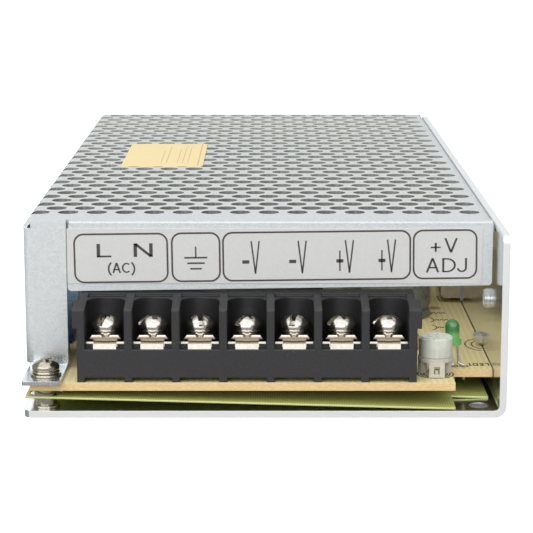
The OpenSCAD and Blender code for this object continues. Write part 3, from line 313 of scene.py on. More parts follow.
# Each group of marks: scale, stroke width, and its signs with their lower left corners
MARKS = (
    ((5.45, 2.8), 0.13, [("L", 6.1, 5.9), ("N", 13.65, 5.9)]),
    ((2.65, 2.1), 0.135, [("(", 8.25, 2.6), ("A", 9.2, 2.6), ("C", 11.15, 2.6), (")", 13.15, 2.6)]),
    ((2.85, 6.75), 0.105, [(sign, x, 2.15) for sign, x in OUTPUTS]),
    ((2.85, 6.75), 0.105, [("V", x + V_STEP, 2.15) for sign, x in OUTPUTS]),
    ((4.05, 2.95), 0.105, [("+", 74.4, 6.1), ("V", 77.15, 6.1)]),
    ((4.05, 2.95), 0.105, [("A", 73.4, 1.95), ("D", 76.75, 1.95), ("J", 79.75, 1.95)]),
)


def front_print():
    """Frames and generic terminal marks of the front label."""
    patches = []
    for start, end in FRAME_ENDS:
        patches.append(rounded_frame((start, FRAME_LOW), (end, FRAME_HIGH), FRAME_R, FRAME_LINE, on_label))
    stem = line((EARTH_X, EARTH_BARS[0][1]), (EARTH_X, EARTH_TOP))
    patches.append(ink_line(stem, EARTH_STEM_LINE, on_label))
    for length, height in EARTH_BARS:
        bar = line((EARTH_X - length / 2, height), (EARTH_X + length / 2, height))
        patches.append(ink_line(bar, EARTH_BAR_LINE, on_label))
    for scale, bold, signs in MARKS:
        for sign, x, z in signs:
            patches += lettering(sign, (x, z), scale, bold, on_label)
    return patches


BOARD_LINE = 0.28
TRIMMER_RING_Y, TRIMMER_RINGS = -91.0, (2.4, 3.0, 3.65)
CATCH_RINGS = ((2.2, 3.7), (3.6, 5.4))
PAD_RING = 0.85
COIL_ARCS = ((-34.5, 39.7, 42.6), (-41.7, 39.8, 42.5), (-49.2, 39.7, 41.4))
COIL_ARC_X, COIL_ARC_R, COIL_ARC_HALF = 36.9, (2.43, 2.9), 58
OUTLINE_MARK = ((42.3, -15.7), (42.45, -21.7), (47, -23.7))
TICK_STEP, TICK_LEAN, TICK_HALF = 0.52, 0.24, 0.6
LAMP_MARK = (("L", 47.2), ("E", 46.05), ("D", 44.9), ("1", 43.5))
LAMP_MARK_Y, LAMP_MARK_SCALE, LAMP_MARK_BOLD = -82.0, (-1.6, -2.3), 0.2


def board_print():
    """Rings and ticks of board print round the trimmer, the lamp, the wall catch and the output parts."""
    trimmer = (TRIMMER_AXIS[0], TRIMMER_RING_Y)
    paths = [arc(trimmer, (r, r), 0, 360, 41) for r in TRIMMER_RINGS]
    paths += [arc(CATCH[:2], radii, 100, 260, 25) for radii in CATCH_RINGS]
    paths += [arc(pad, (PAD_RING, PAD_RING), 0, 360, 25) for pad in LAMP_PADS]
    paths += [line(*OUTLINE_MARK[:2]), line(*OUTLINE_MARK[1:])]
    for y, start, end in COIL_ARCS:
        paths.append(arc((COIL_ARC_X, y), COIL_ARC_R, -COIL_ARC_HALF, COIL_ARC_HALF, 13))
        for step, x in enumerate(np.arange(start, end, TICK_STEP)):
            lean = TICK_LEAN * (-1) ** step
            paths.append(line((x - lean / 2, y - TICK_HALF), (x + lean / 2, y + TICK_HALF)))
    patches = [ink_line(path, BOARD_LINE, on_board) for path in paths]
    for sign, x in LAMP_MARK:
        patches += lettering(sign, (x, LAMP_MARK_Y), LAMP_MARK_SCALE, LAMP_MARK_BOLD, on_board)
    return patches


# Each rule: inset from the label's right edge, its two ends and its width
RULES = ((1.3, 1.5, 40.0, 0.34), (3.9, 6, 34, 0.2), (5.2, 6, 36, 0.2), (6.5, 6, 30, 0.2), (9.2, 6, 35, 0.2),
         (10.5, 6, 28, 0.2))


def sticker_rules():
    """A few plain rules along the top label, set out from its right edge."""
    right = (STICKER_HIGH - STICKER_LOW)[0]
    return [ink_line(line((right - inset, start), (right - inset, end)), width, on_sticker)
            for inset, start, end, width in RULES]


# Solder cone: radius and height below the board at each step of its profile
SOLDER_CONE = ((1.25, 0.02), (1.05, -0.12), (0.7, -0.35), (0.48, -0.7), (0.4, -1.15), (0.3, -1.25),
               (0, -1.27))
TRIMMER_TAILS = ((0, -2.9), (2.5, 2), (-2.5, 2))
PLATE_TAILS = ((-2.8, 1.4), (2.8, 1.4))


def solder_joints():
    """Solder cones round the tails under the board: a concave cone that ends in the tail's blunt point."""
    tails = [TRIMMER_AXIS + np.array(step) for step in TRIMMER_TAILS]
    tails += LAMP_PADS
    for k in POLES:
        middle = sum(box_mm(f"terminal_screw_{k}"))[:2] / 2
        tails += [middle + np.array(step) for step in PLATE_TAILS]
    return [turned(SOLDER_CONE, (x, y, BOARD_LOW[2])) for x, y in tails]


# Shader tools

FLOAT, VECTOR = "NodeSocketFloat", "NodeSocketVector"
WAVE_TURN = 0.314
WEAR_GAIN = 6.0
SLOW_GRAIN = 60.0


def srgb(red, green, blue):
    """Linear colour from 8-bit display values."""
    value = np.array([red, green, blue]) / 255
    linear = np.where(value <= 0.04045, value / 12.92, ((value + 0.055) / 1.055) ** 2.4)
    return (*linear.tolist(), 1.0)


def add_node(tree, kind, inputs=None, **settings):
    """A shader node with its settings; an input is a value or the socket that feeds it."""
    made = tree.nodes.new(kind)
    for name, value in settings.items():
        setattr(made, name, value)
    for name, value in (inputs or {}).items():
        if isinstance(value, bpy.types.NodeSocket):
            tree.links.new(value, made.inputs[name])
        else:
            made.inputs[name].default_value = value
    return made


def calculate(tree, operation, first, second, clamp=False):
    """Math node's value."""
    inputs = {0: first, 1: second}
    return add_node(tree, "ShaderNodeMath", inputs, operation=operation, use_clamp=clamp).outputs[0]


def product(tree, first, *others):
    """Product of values: a mask and its weight, or masks that all have to hold."""
    for value in others:
        first = calculate(tree, "MULTIPLY", first, value)
    return first


def above(tree, value, limit):
    """Mask of where a value is over a limit."""
    return calculate(tree, "GREATER_THAN", value, limit)


def below(tree, value, limit):
    """Mask of where a value is under a limit."""
    return calculate(tree, "LESS_THAN", value, limit)


def level_with(tree, tilt, limit):
    """Mask of where a part of the normal is near nought, to either side."""
    return below(tree, calculate(tree, "ABSOLUTE", tilt, 0.0), limit)


def spread(tree, value, low, high, to_low=0.0, to_high=1.0):
    """Value carried from one range to another and held inside it."""
    inputs = {"Value": value, "From Min": low, "From Max": high, "To Min": to_low, "To Max": to_high}
    return add_node(tree, "ShaderNodeMapRange", inputs).outputs["Result"]


def between(tree, share, low, high):
    """Value that goes from low to high with a share."""
    return spread(tree, share, 0.0, 1.0, low, high)


def blend_colours(tree, share, first, second):
    """Mix of two colours by a share."""
    mix = add_node(tree, "ShaderNodeMix", {0: share, 6: first, 7: second}, data_type="RGBA")
    return mix.outputs[2]


def object_place(tree):
    """The part's own coordinates, in metres."""
    return add_node(tree, "ShaderNodeTexCoord").outputs["Object"]


def geometry(tree):
    """The surface's own normals."""
    return add_node(tree, "ShaderNodeNewGeometry").outputs


def split(tree, vector):
    """A vector's X, Y and Z."""
    return add_node(tree, "ShaderNodeSeparateXYZ", {0: vector}).outputs


def unit(tree, vector):
    """A vector brought to length 1."""
    return add_node(tree, "ShaderNodeVectorMath", {0: vector}, operation="NORMALIZE").outputs[0]


def distance_from(tree, place, spot):
    """Distance in metres from a spot given in millimetres."""
    inputs = {0: place, 1: tuple(value * MM for value in spot)}
    return add_node(tree, "ShaderNodeVectorMath", inputs, operation="DISTANCE").outputs["Value"]


def band_wave(tree, place, pitch, direction, wobble=0.0):
    """Value that rises and falls along an axis, once in each pitch given in millimetres."""
    inputs = {"Vector": place, "Scale": WAVE_TURN / (pitch * MM), "Distortion": wobble}
    return add_node(tree, "ShaderNodeTexWave", inputs, bands_direction=direction).outputs["Fac"]


def cell_noise(tree, scale):
    """Cells over the part's own coordinates: each cell's random value, and the distance from its middle."""
    cells = add_node(tree, "ShaderNodeTexVoronoi", {"Vector": object_place(tree), "Scale": scale}).outputs
    chance = add_node(tree, "ShaderNodeSeparateColor", {"Color": cells["Color"]}).outputs["Red"]
    return chance, cells["Distance"]


def new_group(name, inputs, outputs):
    """Empty shader group with named sockets: its tree, its inputs and its output node."""
    tree = bpy.data.node_groups.new(name, "ShaderNodeTree")
    for title, kind, value in inputs:
        tree.interface.new_socket(title, in_out="INPUT", socket_type=kind).default_value = value
    for title, kind in outputs:
        tree.interface.new_socket(title, in_out="OUTPUT", socket_type=kind)
    return tree, tree.nodes.new("NodeGroupInput").outputs, tree.nodes.new("NodeGroupOutput").inputs


def use_group(tree, group, **inputs):
    """A placed group's outputs."""
    return add_node(tree, "ShaderNodeGroup", inputs, node_tree=group).outputs


def grain_group():
    """Noise over the part's own coordinates, stretched along chosen axes."""
    sockets = [("Scale", FLOAT, 1000.0), ("Stretch", VECTOR, (1, 1, 1)), ("Detail", FLOAT, 3.0)]
    tree, given, made = new_group("grain", sockets, [("Value", FLOAT)])
    inputs = {"Vector": object_place(tree), "Scale": given["Stretch"]}
    stretched = add_node(tree, "ShaderNodeMapping", inputs).outputs[0]
    inputs = {"Vector": stretched, "Scale": given["Scale"], "Detail": given["Detail"]}
    noise = add_node(tree, "ShaderNodeTexNoise", inputs).outputs["Fac"]
    tree.links.new(spread(tree, noise, 0.3, 0.7), made["Value"])
    return tree


def edge_group():
    """Normal that is rounded near edges, and a mask of the edges that wear shows on."""
    sockets = [("Radius", FLOAT, 0.0002)]
    tree, given, made = new_group("edge", sockets, [("Normal", VECTOR), ("Wear", FLOAT)])
    rounded = add_node(tree, "ShaderNodeBevel", {"Radius": given["Radius"]}, samples=6).outputs[0]
    inputs = {0: rounded, 1: geometry(tree)["True Normal"]}
    same = add_node(tree, "ShaderNodeVectorMath", inputs, operation="DOT_PRODUCT").outputs["Value"]
    away = calculate(tree, "MULTIPLY", calculate(tree, "SUBTRACT", 1.0, same), WEAR_GAIN, clamp=True)
    tree.links.new(rounded, made["Normal"])
    tree.links.new(away, made["Wear"])
    return tree


def speck_group():
    """Small scattered specks: cells whose random value lies under a share, shown near their middle."""
    sockets = [("Scale", FLOAT, 1000.0), ("Share", FLOAT, 0.1), ("Reach", FLOAT, 0.3)]
    tree, given, made = new_group("specks", sockets, [("Mask", FLOAT)])
    chance, away = cell_noise(tree, given["Scale"])
    mask = product(tree, below(tree, chance, given["Share"]), below(tree, away, given["Reach"]))
    tree.links.new(mask, made["Mask"])
    return tree


def facing_group():
    """Masks of the faces that look up and of those that look down."""
    tree, given, made = new_group("facing", [("Steep", FLOAT, 0.7)], [("Up", FLOAT), ("Down", FLOAT)])
    height = split(tree, geometry(tree)["True Normal"])["Z"]
    tree.links.new(above(tree, height, given["Steep"]), made["Up"])
    tree.links.new(above(tree, product(tree, height, -1.0), given["Steep"]), made["Down"])
    return tree


GRAIN, EDGE, SPECKS, FACING = grain_group(), edge_group(), speck_group(), facing_group()


def start_material(name, **sockets):
    """Material with its Principled shader; a constant goes onto the shader's own socket."""
    material = bpy.data.materials.new(name)
    material.use_nodes = True
    tree = material.node_tree
    shader = tree.nodes["Principled BSDF"]
    for title, value in sockets.items():
        shader.inputs[title.replace("_", " ")].default_value = value
    return material, tree, shader


def feed(tree, shader, **sockets):
    """Links values that change over the surface to the shader."""
    for title, value in sockets.items():
        tree.links.new(value, shader.inputs[title.replace("_", " ")])


def bumped(tree, height, depth, normal):
    """Normal with a height pattern on it, of a real depth in millimetres."""
    inputs = {"Height": height, "Distance": depth * MM, "Normal": normal, "Strength": 1.0}
    return add_node(tree, "ShaderNodeBump", inputs).outputs[0]


def coat(name, tones, grain=900.0, rough=(0.4, 0.55), bump=0.01, edge=0.15, worn=None, **sockets):
    """General finish: two tones by a grain, roughness by a slower one, and edges rounded, worn or left."""
    material, tree, shader = start_material(name, **sockets)
    fine = use_group(tree, GRAIN, Scale=grain)["Value"]
    wide = use_group(tree, GRAIN, Scale=SLOW_GRAIN)["Value"]
    rim = use_group(tree, EDGE, Radius=edge * MM) if edge else geometry(tree)
    tint = blend_colours(tree, fine, *tones)
    if worn:
        tint = blend_colours(tree, product(tree, rim["Wear"], between(tree, wide, 0.25, 0.9)), tint, worn)
    mixed = product(tree, calculate(tree, "ADD", wide, fine), 0.5)
    feed(tree, shader, Base_Color=tint, Roughness=between(tree, mixed, *rough),
         Normal=bumped(tree, fine, bump, rim["Normal"]))
    return material


# Cover: reaches of its bend, punched walls and lug, in millimetres, and limits of its normals

BEND_REACH, BEND_FLAT, BEND_TURN = 4, 0.03, (0.62, 0.98)
PUNCHED_TOP, PUNCHED_LEFT, VENTS_BACK, WALL_TILT = 1.2, 0.95, 6, 0.3
LUG_BACK, LUG_GLOSS_RISE = 1, 8


def bend_normal(tree, rim, part):
    """Normal of the cover: its front bend turns down early, so that only the crown looks up."""
    tilt = split(tree, geometry(tree)["Normal"])
    bend = product(tree, below(tree, part["Y"], (LABEL_LOW[1] + BEND_REACH) * MM),
                   below(tree, tilt["Y"], -BEND_FLAT), above(tree, tilt["Z"], BEND_FLAT))
    rise = spread(tree, tilt["Z"], *BEND_TURN)
    ahead = calculate(tree, "SUBTRACT", rise, 1.0)
    crown = add_node(tree, "ShaderNodeCombineXYZ", {"Y": ahead, "Z": rise}).outputs[0]
    inputs = {0: bend, 4: rim["Normal"], 5: unit(tree, crown)}
    return add_node(tree, "ShaderNodeMix", inputs, data_type="VECTOR").outputs[1]


def punched_walls(tree, part):
    """Mask of the vent holes' walls: faces square to the top or the left side, within its thickness."""
    tilt = split(tree, geometry(tree)["True Normal"])
    top = product(tree, level_with(tree, tilt["Z"], WALL_TILT),
                  above(tree, part["Z"], CAD_HIGH[2] - PUNCHED_TOP * MM))
    left = product(tree, level_with(tree, tilt["X"], WALL_TILT),
                   below(tree, part["X"], CAD_LOW[0] + PUNCHED_LEFT * MM))
    behind = above(tree, part["Y"], (LABEL_LOW[1] + VENTS_BACK) * MM)
    return product(tree, calculate(tree, "MAXIMUM", top, left), behind)


def lug_gloss(tree, part):
    """Mask of the fixing lug and the foot of the fold that it hangs from, fading out upwards."""
    beside = below(tree, part["X"], LABEL_LOW[0] * MM)
    front = below(tree, part["Y"], (LABEL_LOW[1] + LUG_BACK) * MM)
    high = LUG_WASHER_TOP + LUG_GLOSS_RISE
    return product(tree, beside, front, spread(tree, part["Z"], LUG_WASHER_TOP * MM, high * MM, 1.0, 0.0))


def zinc_sheet():
    """Cover: zinc-coated steel with a fine low spangle and sparse dark specks, glossier at its lug.

    The punched walls are bare steel, with painted shade: dark in front and paler towards the rear.
    """
    material, tree, shader = start_material("zinc_sheet")
    part = split(tree, object_place(tree))
    flakes = cell_noise(tree, 2600.0)[0]
    fine = use_group(tree, GRAIN, Scale=5200.0, Detail=2.0)["Value"]
    wide = use_group(tree, GRAIN, Scale=90.0)["Value"]
    shear = use_group(tree, GRAIN, Scale=2600.0, Stretch=(1, 1, 0.12), Detail=2.0)["Value"]
    specks = use_group(tree, SPECKS, Scale=1500.0, Share=0.005, Reach=0.16)["Mask"]
    rim = use_group(tree, EDGE, Radius=0.12 * MM)
    punched = punched_walls(tree, part)
    gloss = lug_gloss(tree, part)
    tone = calculate(tree, "ADD", product(tree, flakes, 0.45), product(tree, fine, 0.55))
    tint = blend_colours(tree, tone, srgb(197, 202, 204), srgb(229, 232, 233))
    tint = blend_colours(tree, between(tree, wide, 0.0, 0.35), tint, srgb(214, 219, 222))
    tint = blend_colours(tree, product(tree, specks, 0.6), tint, srgb(120, 122, 120))
    # painted shade: the punched walls go from dark at the front of the cover to pale at its rear
    dark = blend_colours(tree, shear, srgb(98, 100, 92), srgb(140, 142, 134))
    pale = blend_colours(tree, shear, srgb(168, 170, 162), srgb(198, 200, 192))
    bare = blend_colours(tree, spread(tree, part["Y"], CAD_LOW[1], CAD_HIGH[1]), dark, pale)
    tint = blend_colours(tree, punched, tint, bare)
    rough = calculate(tree, "SUBTRACT", between(tree, tone, 0.6, 0.74), product(tree, gloss, 0.44))
    rough = calculate(tree, "MAXIMUM", rough, product(tree, punched, 0.75))
    feed(tree, shader, Base_Color=tint, Roughness=rough, Metallic=between(tree, gloss, 0.45, 0.95),
         Normal=bumped(tree, tone, 0.006, bend_normal(tree, rim, part)))
    return material


# Chassis: reaches of its pressed places, cut edges and wall rim, in millimetres

PRESSED_FULL, PRESSED_END, PRESSED_IN = 3.2, 4.2, 0.06
FRONT_CUT, WALL_LOW, WALL_RIM = 2, 12, 0.9


def pressed_mask(tree, place, part):
    """Mask of the metal that stands in from the wall at the catch and the collar, fading out round them."""
    near = [spread(tree, distance_from(tree, place, spot), PRESSED_FULL * MM, PRESSED_END * MM, 1.0, 0.0)
            for spot in (CATCH, COLLAR)]
    inside = below(tree, part["X"], (WALL_IN - PRESSED_IN) * MM)
    return product(tree, calculate(tree, "MAXIMUM", *near), inside)


def cut_masks(tree, part):
    """Masks of the cut front edges, and of the wall's crest with the rim under it."""
    tilt = split(tree, geometry(tree)["True Normal"])
    front = product(tree, below(tree, tilt["Y"], -0.9), below(tree, part["Y"], CAD_LOW[1] + FRONT_CUT * MM))
    crest = product(tree, above(tree, tilt["Z"], 0.5), above(tree, part["Z"], WALL_LOW * MM))
    return front, calculate(tree, "MAXIMUM", crest, above(tree, part["Z"], (WALL_TOP - WALL_RIM) * MM))


def aluminium_sheet():
    """Chassis: bright rolled aluminium with fine lines along its length, duller at cut and pressed places."""
    material, tree, shader = start_material("aluminium_sheet")
    place = object_place(tree)
    part = split(tree, place)
    lines = use_group(tree, GRAIN, Scale=2400.0, Stretch=(1, 0.02, 1), Detail=2.0)["Value"]
    wide = use_group(tree, GRAIN, Scale=70.0)["Value"]
    rim = use_group(tree, EDGE, Radius=0.2 * MM)
    pressed = pressed_mask(tree, place, part)
    front, crest = cut_masks(tree, part)
    cut = calculate(tree, "MAXIMUM", front, crest)
    tint = blend_colours(tree, lines, srgb(219, 222, 225), srgb(233, 235, 237))
    tint = blend_colours(tree, front, tint, srgb(234, 235, 235))
    tint = blend_colours(tree, crest, tint, srgb(236, 238, 239))
    dull = calculate(tree, "ADD", product(tree, pressed, 0.2), product(tree, cut, 0.42))
    rough = calculate(tree, "ADD", between(tree, wide, 0.13, 0.22), dull)
    loss = calculate(tree, "ADD", product(tree, pressed, 0.3), product(tree, cut, 0.5))
    feed(tree, shader, Base_Color=tint, Roughness=rough, Metallic=calculate(tree, "SUBTRACT", 1.0, loss),
         Normal=bumped(tree, lines, 0.002, rim["Normal"]))
    return material


# Board: pitch of its tracks, and the middle and reaches of its one flux stain, in millimetres

TRACK_PITCH = 1.256
FLUX_MARK, FLUX_FULL, FLUX_END = (40.45, -29.1, BOARD_HIGH[2]), 1.2, 1.9


def board_laminate():
    """Board: tan top with faint tracks showing through, peach fibrous edges and a darker underside."""
    material, tree, shader = start_material("board_laminate")
    place = object_place(tree)
    tracks = band_wave(tree, place, TRACK_PITCH, "X", 0.6)
    fibre = use_group(tree, GRAIN, Scale=1500.0, Stretch=(1, 1, 4))["Value"]
    wide = use_group(tree, GRAIN, Scale=45.0)["Value"]
    face = use_group(tree, FACING)
    rim = use_group(tree, EDGE, Radius=0.15 * MM)
    flux = spread(tree, distance_from(tree, place, FLUX_MARK), FLUX_FULL * MM, FLUX_END * MM, 0.75, 0.0)
    top = blend_colours(tree, spread(tree, tracks, 0.35, 0.65), srgb(228, 211, 152), srgb(238, 224, 170))
    top = blend_colours(tree, between(tree, wide, 0.0, 0.3), top, srgb(238, 225, 178))
    top = blend_colours(tree, flux, top, srgb(138, 98, 52))
    side = blend_colours(tree, fibre, srgb(222, 188, 128), srgb(238, 210, 156))
    under = blend_colours(tree, spread(tree, tracks, 0.4, 0.6), srgb(120, 112, 58), srgb(158, 148, 84))
    tint = blend_colours(tree, face["Up"], side, top)
    tint = blend_colours(tree, face["Down"], tint, under)
    tint = blend_colours(tree, product(tree, rim["Wear"], 0.6), tint, srgb(240, 226, 190))
    feed(tree, shader, Base_Color=tint, Roughness=between(tree, wide, 0.38, 0.55),
         Normal=bumped(tree, fibre, 0.01, rim["Normal"]))
    return material


# Where the painted shade of the block's pockets begins and where it is full, in millimetres behind its front
POCKET_SHADE_START, POCKET_SHADE_FULL = 0.3, 2.5


def block_plastic():
    """Terminal block: black plastic with soft worn edges and sparse dust, darker behind its front face as
    painted shade.
    """
    material, tree, shader = start_material("block_plastic")
    part = split(tree, object_place(tree))
    fine = use_group(tree, GRAIN, Scale=2600.0)["Value"]
    wide = use_group(tree, GRAIN, Scale=60.0)["Value"]
    dust = use_group(tree, SPECKS, Scale=1800.0, Share=0.02, Reach=0.14)["Mask"]
    rim = use_group(tree, EDGE, Radius=0.45 * MM)
    front = box_mm("terminal_housing")[0][1]
    # painted shade: from just behind the front face back, the block takes a darker tone for the shade in its
    # pockets
    unshaded_front = spread(tree, part["Y"], (front + POCKET_SHADE_START) * MM, (front + POCKET_SHADE_FULL) * MM, 1.0, 0.0)
    pocket_shade_tone = blend_colours(tree, fine, srgb(23, 23, 25), srgb(31, 31, 33))
    front_tone = blend_colours(tree, fine, srgb(40, 40, 42), srgb(50, 50, 52))
    tint = blend_colours(tree, unshaded_front, pocket_shade_tone, front_tone)
    wear = product(tree, rim["Wear"], between(tree, wide, 0.2, 0.7))
    tint = blend_colours(tree, wear, tint, srgb(52, 52, 54))
    tint = blend_colours(tree, dust, tint, srgb(118, 116, 112))
    feed(tree, shader, Base_Color=tint, Roughness=between(tree, wide, 0.42, 0.54),
         Normal=bumped(tree, fine, 0.008, rim["Normal"]))
    return material


FILM_PITCH = 0.5


def ribbed_film():
    """Insulating sheet: yellow-green film with fine upright lines and pale cut edges."""
    material, tree, shader = start_material("ribbed_film", Subsurface_Weight=0.1,
                                            Subsurface_Radius=(0.001, 0.001, 0.0004))
    lines = band_wave(tree, object_place(tree), FILM_PITCH, "X", 0.8)
    wide = use_group(tree, GRAIN, Scale=120.0)["Value"]
    rim = use_group(tree, EDGE, Radius=0.3 * MM)
    tint = blend_colours(tree, spread(tree, lines, 0.2, 0.8), srgb(188, 193, 104), srgb(204, 208, 124))
    tint = blend_colours(tree, product(tree, rim["Wear"], 0.8), tint, srgb(242, 244, 204))
    feed(tree, shader, Base_Color=tint, Roughness=between(tree, wide, 0.3, 0.42),
         Normal=bumped(tree, lines, 0.006, rim["Normal"]))
    return material


LAMP_PALE, LAMP_DARK = 2.2, 3.1


def lamp_resin():
    """Lamp: green tinted resin, paler just above its rim and darker in its upper half."""
    material, tree, shader = start_material("lamp_resin", Transmission_Weight=0.25, IOR=1.5, Coat_Weight=0.5)
    part = split(tree, object_place(tree))
    fine = use_group(tree, GRAIN, Scale=800.0)["Value"]
    foot = box_mm("lamp_lens")[0][2]
    rise = spread(tree, part["Z"], (foot + LAMP_PALE) * MM, (foot + LAMP_DARK) * MM)
    tint = blend_colours(tree, rise, srgb(134, 210, 122), srgb(84, 148, 88))
    feed(tree, shader, Base_Color=tint, Roughness=between(tree, fine, 0.1, 0.2))
    return material


CAP_FADE = 0.35


def milky_cap():
    """Trimmer cap: milky plastic, cloudy in its upper half and greyer and faintly ribbed below."""
    material, tree, shader = start_material("milky_cap", Subsurface_Weight=0.3,
                                            Subsurface_Radius=(0.0012, 0.0012, 0.001))
    part = split(tree, object_place(tree))
    ribs = use_group(tree, GRAIN, Scale=900.0, Stretch=(1, 1, 0.05))["Value"]
    fine = use_group(tree, GRAIN, Scale=900.0)["Value"]
    middle = sum(box_mm("trimmer_rotor"))[2] / 2
    rise = spread(tree, part["Z"], (middle - CAP_FADE) * MM, (middle + CAP_FADE) * MM)
    clear = blend_colours(tree, ribs, srgb(204, 205, 192), srgb(224, 225, 213))
    cloudy = blend_colours(tree, fine, srgb(219, 223, 211), srgb(229, 232, 222))
    tint = blend_colours(tree, rise, clear, cloudy)
    feed(tree, shader, Base_Color=tint, Roughness=between(tree, fine, 0.24, 0.36))
    return material


# Terminal metal: heights above the plates in millimetres, and how far the normals lean

ROLL_LOW, CLAMP_ROLL, PLATE_ROLL, ROLL_LEAN = 0.8, 0.6, 0.75, 0.45
# Heights above the plates of the painted shade on the front faces, and of its darkest band at the seam
TONGUE_FULL, TONGUE_END = 0.7, 1.0
SEAM_FULL, SEAM_END = 0.1, 0.35
HEAD_TILT, BARREL_LEAN = 0.4, (-0.8, 0.5)


def over_plate(tree, part, low, high):
    """Mask that fades out upwards between two heights above the plates."""
    return spread(tree, part["Z"], (PLATE_TOP + low) * MM, (PLATE_TOP + high) * MM, 1.0, 0.0)


def terminal_normal(tree, part, tilt, ahead, plate):
    """Normal of the terminals: front edges of clamps and plates roll up, and heads have barrelled sides."""
    roll = spread(tree, part["Z"], (PLATE_TOP + ROLL_LOW) * MM, CLAMP_TOP * MM, 0.0, CLAMP_ROLL)
    roll = calculate(tree, "MAXIMUM", roll, product(tree, plate, PLATE_ROLL))
    low, high = HEAD_LOW * MM, (HEAD_LOW + HEAD_SIDE) * MM
    side = product(tree, level_with(tree, tilt["Z"], HEAD_TILT),
                   above(tree, part["Z"], low), below(tree, part["Z"], high))
    barrel = product(tree, side, spread(tree, part["Z"], low, high, *BARREL_LEAN))
    lean = calculate(tree, "ADD", product(tree, roll, ahead, ROLL_LEAN), barrel)
    rise = add_node(tree, "ShaderNodeCombineXYZ", {"Z": lean}).outputs[0]
    inputs = {0: geometry(tree)["Normal"], 1: rise}
    return unit(tree, add_node(tree, "ShaderNodeVectorMath", inputs, operation="ADD").outputs[0])


def bright_nickel():
    """Terminal metal: polished screws, and softer clamps and plates with front edges rolled to the light and
    painted shade just above the plates.
    """
    material, tree, shader = start_material("nickel", Metallic=1.0)
    part = split(tree, object_place(tree))
    fine = use_group(tree, GRAIN, Scale=1500.0)["Value"]
    wide = use_group(tree, GRAIN, Scale=160.0)["Value"]
    tilt = split(tree, geometry(tree)["True Normal"])
    low = below(tree, part["Z"], CLAMP_TOP * MM)
    plate = below(tree, part["Z"], PLATE_TOP * MM)
    ahead = product(tree, below(tree, tilt["Y"], -0.6), low)
    tongue = calculate(tree, "SUBTRACT", over_plate(tree, part, TONGUE_FULL, TONGUE_END), plate)
    seam = over_plate(tree, part, SEAM_FULL, SEAM_END)
    polished = blend_colours(tree, fine, srgb(214, 209, 200), srgb(230, 226, 219))
    soft = blend_colours(tree, fine, srgb(216, 209, 194), srgb(232, 226, 214))
    # painted shade: the front faces just above the plates are darker and warmer, darkest at the seam with the
    # plates
    shaded_front_tint = blend_colours(tree, seam, srgb(172, 162, 144), srgb(66, 61, 52))
    dull = blend_colours(tree, fine, srgb(172, 167, 158), srgb(188, 184, 176))
    tint = blend_colours(tree, low, polished, soft)
    tint = blend_colours(tree, product(tree, tongue, ahead), tint, shaded_front_tint)
    tint = blend_colours(tree, plate, tint, dull)
    rough = calculate(tree, "ADD", between(tree, wide, 0.17, 0.25), product(tree, ahead, 0.12))
    normal = terminal_normal(tree, part, tilt, ahead, plate)
    feed(tree, shader, Base_Color=tint, Roughness=rough, Normal=bumped(tree, fine, 0.0015, normal))
    return material


# Finishes of the parts on the board

TAPE_PITCH, RESISTOR_BAND_PITCH = 1.1, 1.3


def blue_lacquer_paler_top():
    """Disc capacitors: deep blue lacquer, paler and greyer towards the top."""
    material, tree, shader = start_material("blue_lacquer")
    low, high = box_mm("disc_capacitors")
    part = split(tree, object_place(tree))
    fine = use_group(tree, GRAIN, Scale=900.0)["Value"]
    rise = spread(tree, part["Z"], (low[2] + high[2]) / 2 * MM, high[2] * MM)
    deep = blend_colours(tree, fine, srgb(34, 84, 146), srgb(46, 100, 164))
    # the lacquer is paler and greyer towards the top
    upper_tone = blend_colours(tree, fine, srgb(112, 142, 158), srgb(128, 157, 172))
    feed(tree, shader, Base_Color=blend_colours(tree, rise, deep, upper_tone),
         Roughness=between(tree, fine, 0.24, 0.38), Normal=bumped(tree, fine, 0.02, geometry(tree)["Normal"]))
    return material


def capacitor_sleeve(name, tones, top):
    """Electrolytic capacitor: glossy shrunk sleeve with a bare aluminium disc on top."""
    material, tree, shader = start_material(name)
    fine = use_group(tree, GRAIN, Scale=700.0)["Value"]
    disc = use_group(tree, FACING, Steep=0.9)["Up"]
    rim = use_group(tree, EDGE, Radius=0.2 * MM)
    tint = blend_colours(tree, disc, blend_colours(tree, fine, *tones), top)
    feed(tree, shader, Base_Color=tint, Metallic=product(tree, disc, 0.9),
         Roughness=between(tree, fine, 0.25, 0.38), Normal=bumped(tree, fine, 0.01, rim["Normal"]))
    return material


def winding_tape():
    """Winding tape: yellow bands round the coil, with a rounded profile."""
    material, tree, shader = start_material("winding_tape")
    bands = band_wave(tree, object_place(tree), TAPE_PITCH, "Z", 0.2)
    fine = use_group(tree, GRAIN, Scale=500.0)["Value"]
    rim = use_group(tree, EDGE, Radius=0.2 * MM)
    feed(tree, shader, Base_Color=blend_colours(tree, bands, srgb(222, 184, 34), srgb(238, 206, 62)),
         Roughness=between(tree, fine, 0.25, 0.4), Normal=bumped(tree, bands, TAPE_PITCH / 4, rim["Normal"]))
    return material


def banded_resistor():
    """Resistor: lacquered body with plain colour bands across its length."""
    material, tree, shader = start_material("resistor_lacquer")
    bands = band_wave(tree, object_place(tree), RESISTOR_BAND_PITCH, "Y")
    fine = use_group(tree, GRAIN, Scale=700.0)["Value"]
    base = blend_colours(tree, fine, srgb(196, 168, 124), srgb(214, 186, 142))
    tint = blend_colours(tree, above(tree, bands, 0.82), base, srgb(120, 62, 34))
    feed(tree, shader, Base_Color=tint, Roughness=between(tree, fine, 0.3, 0.45))
    return material


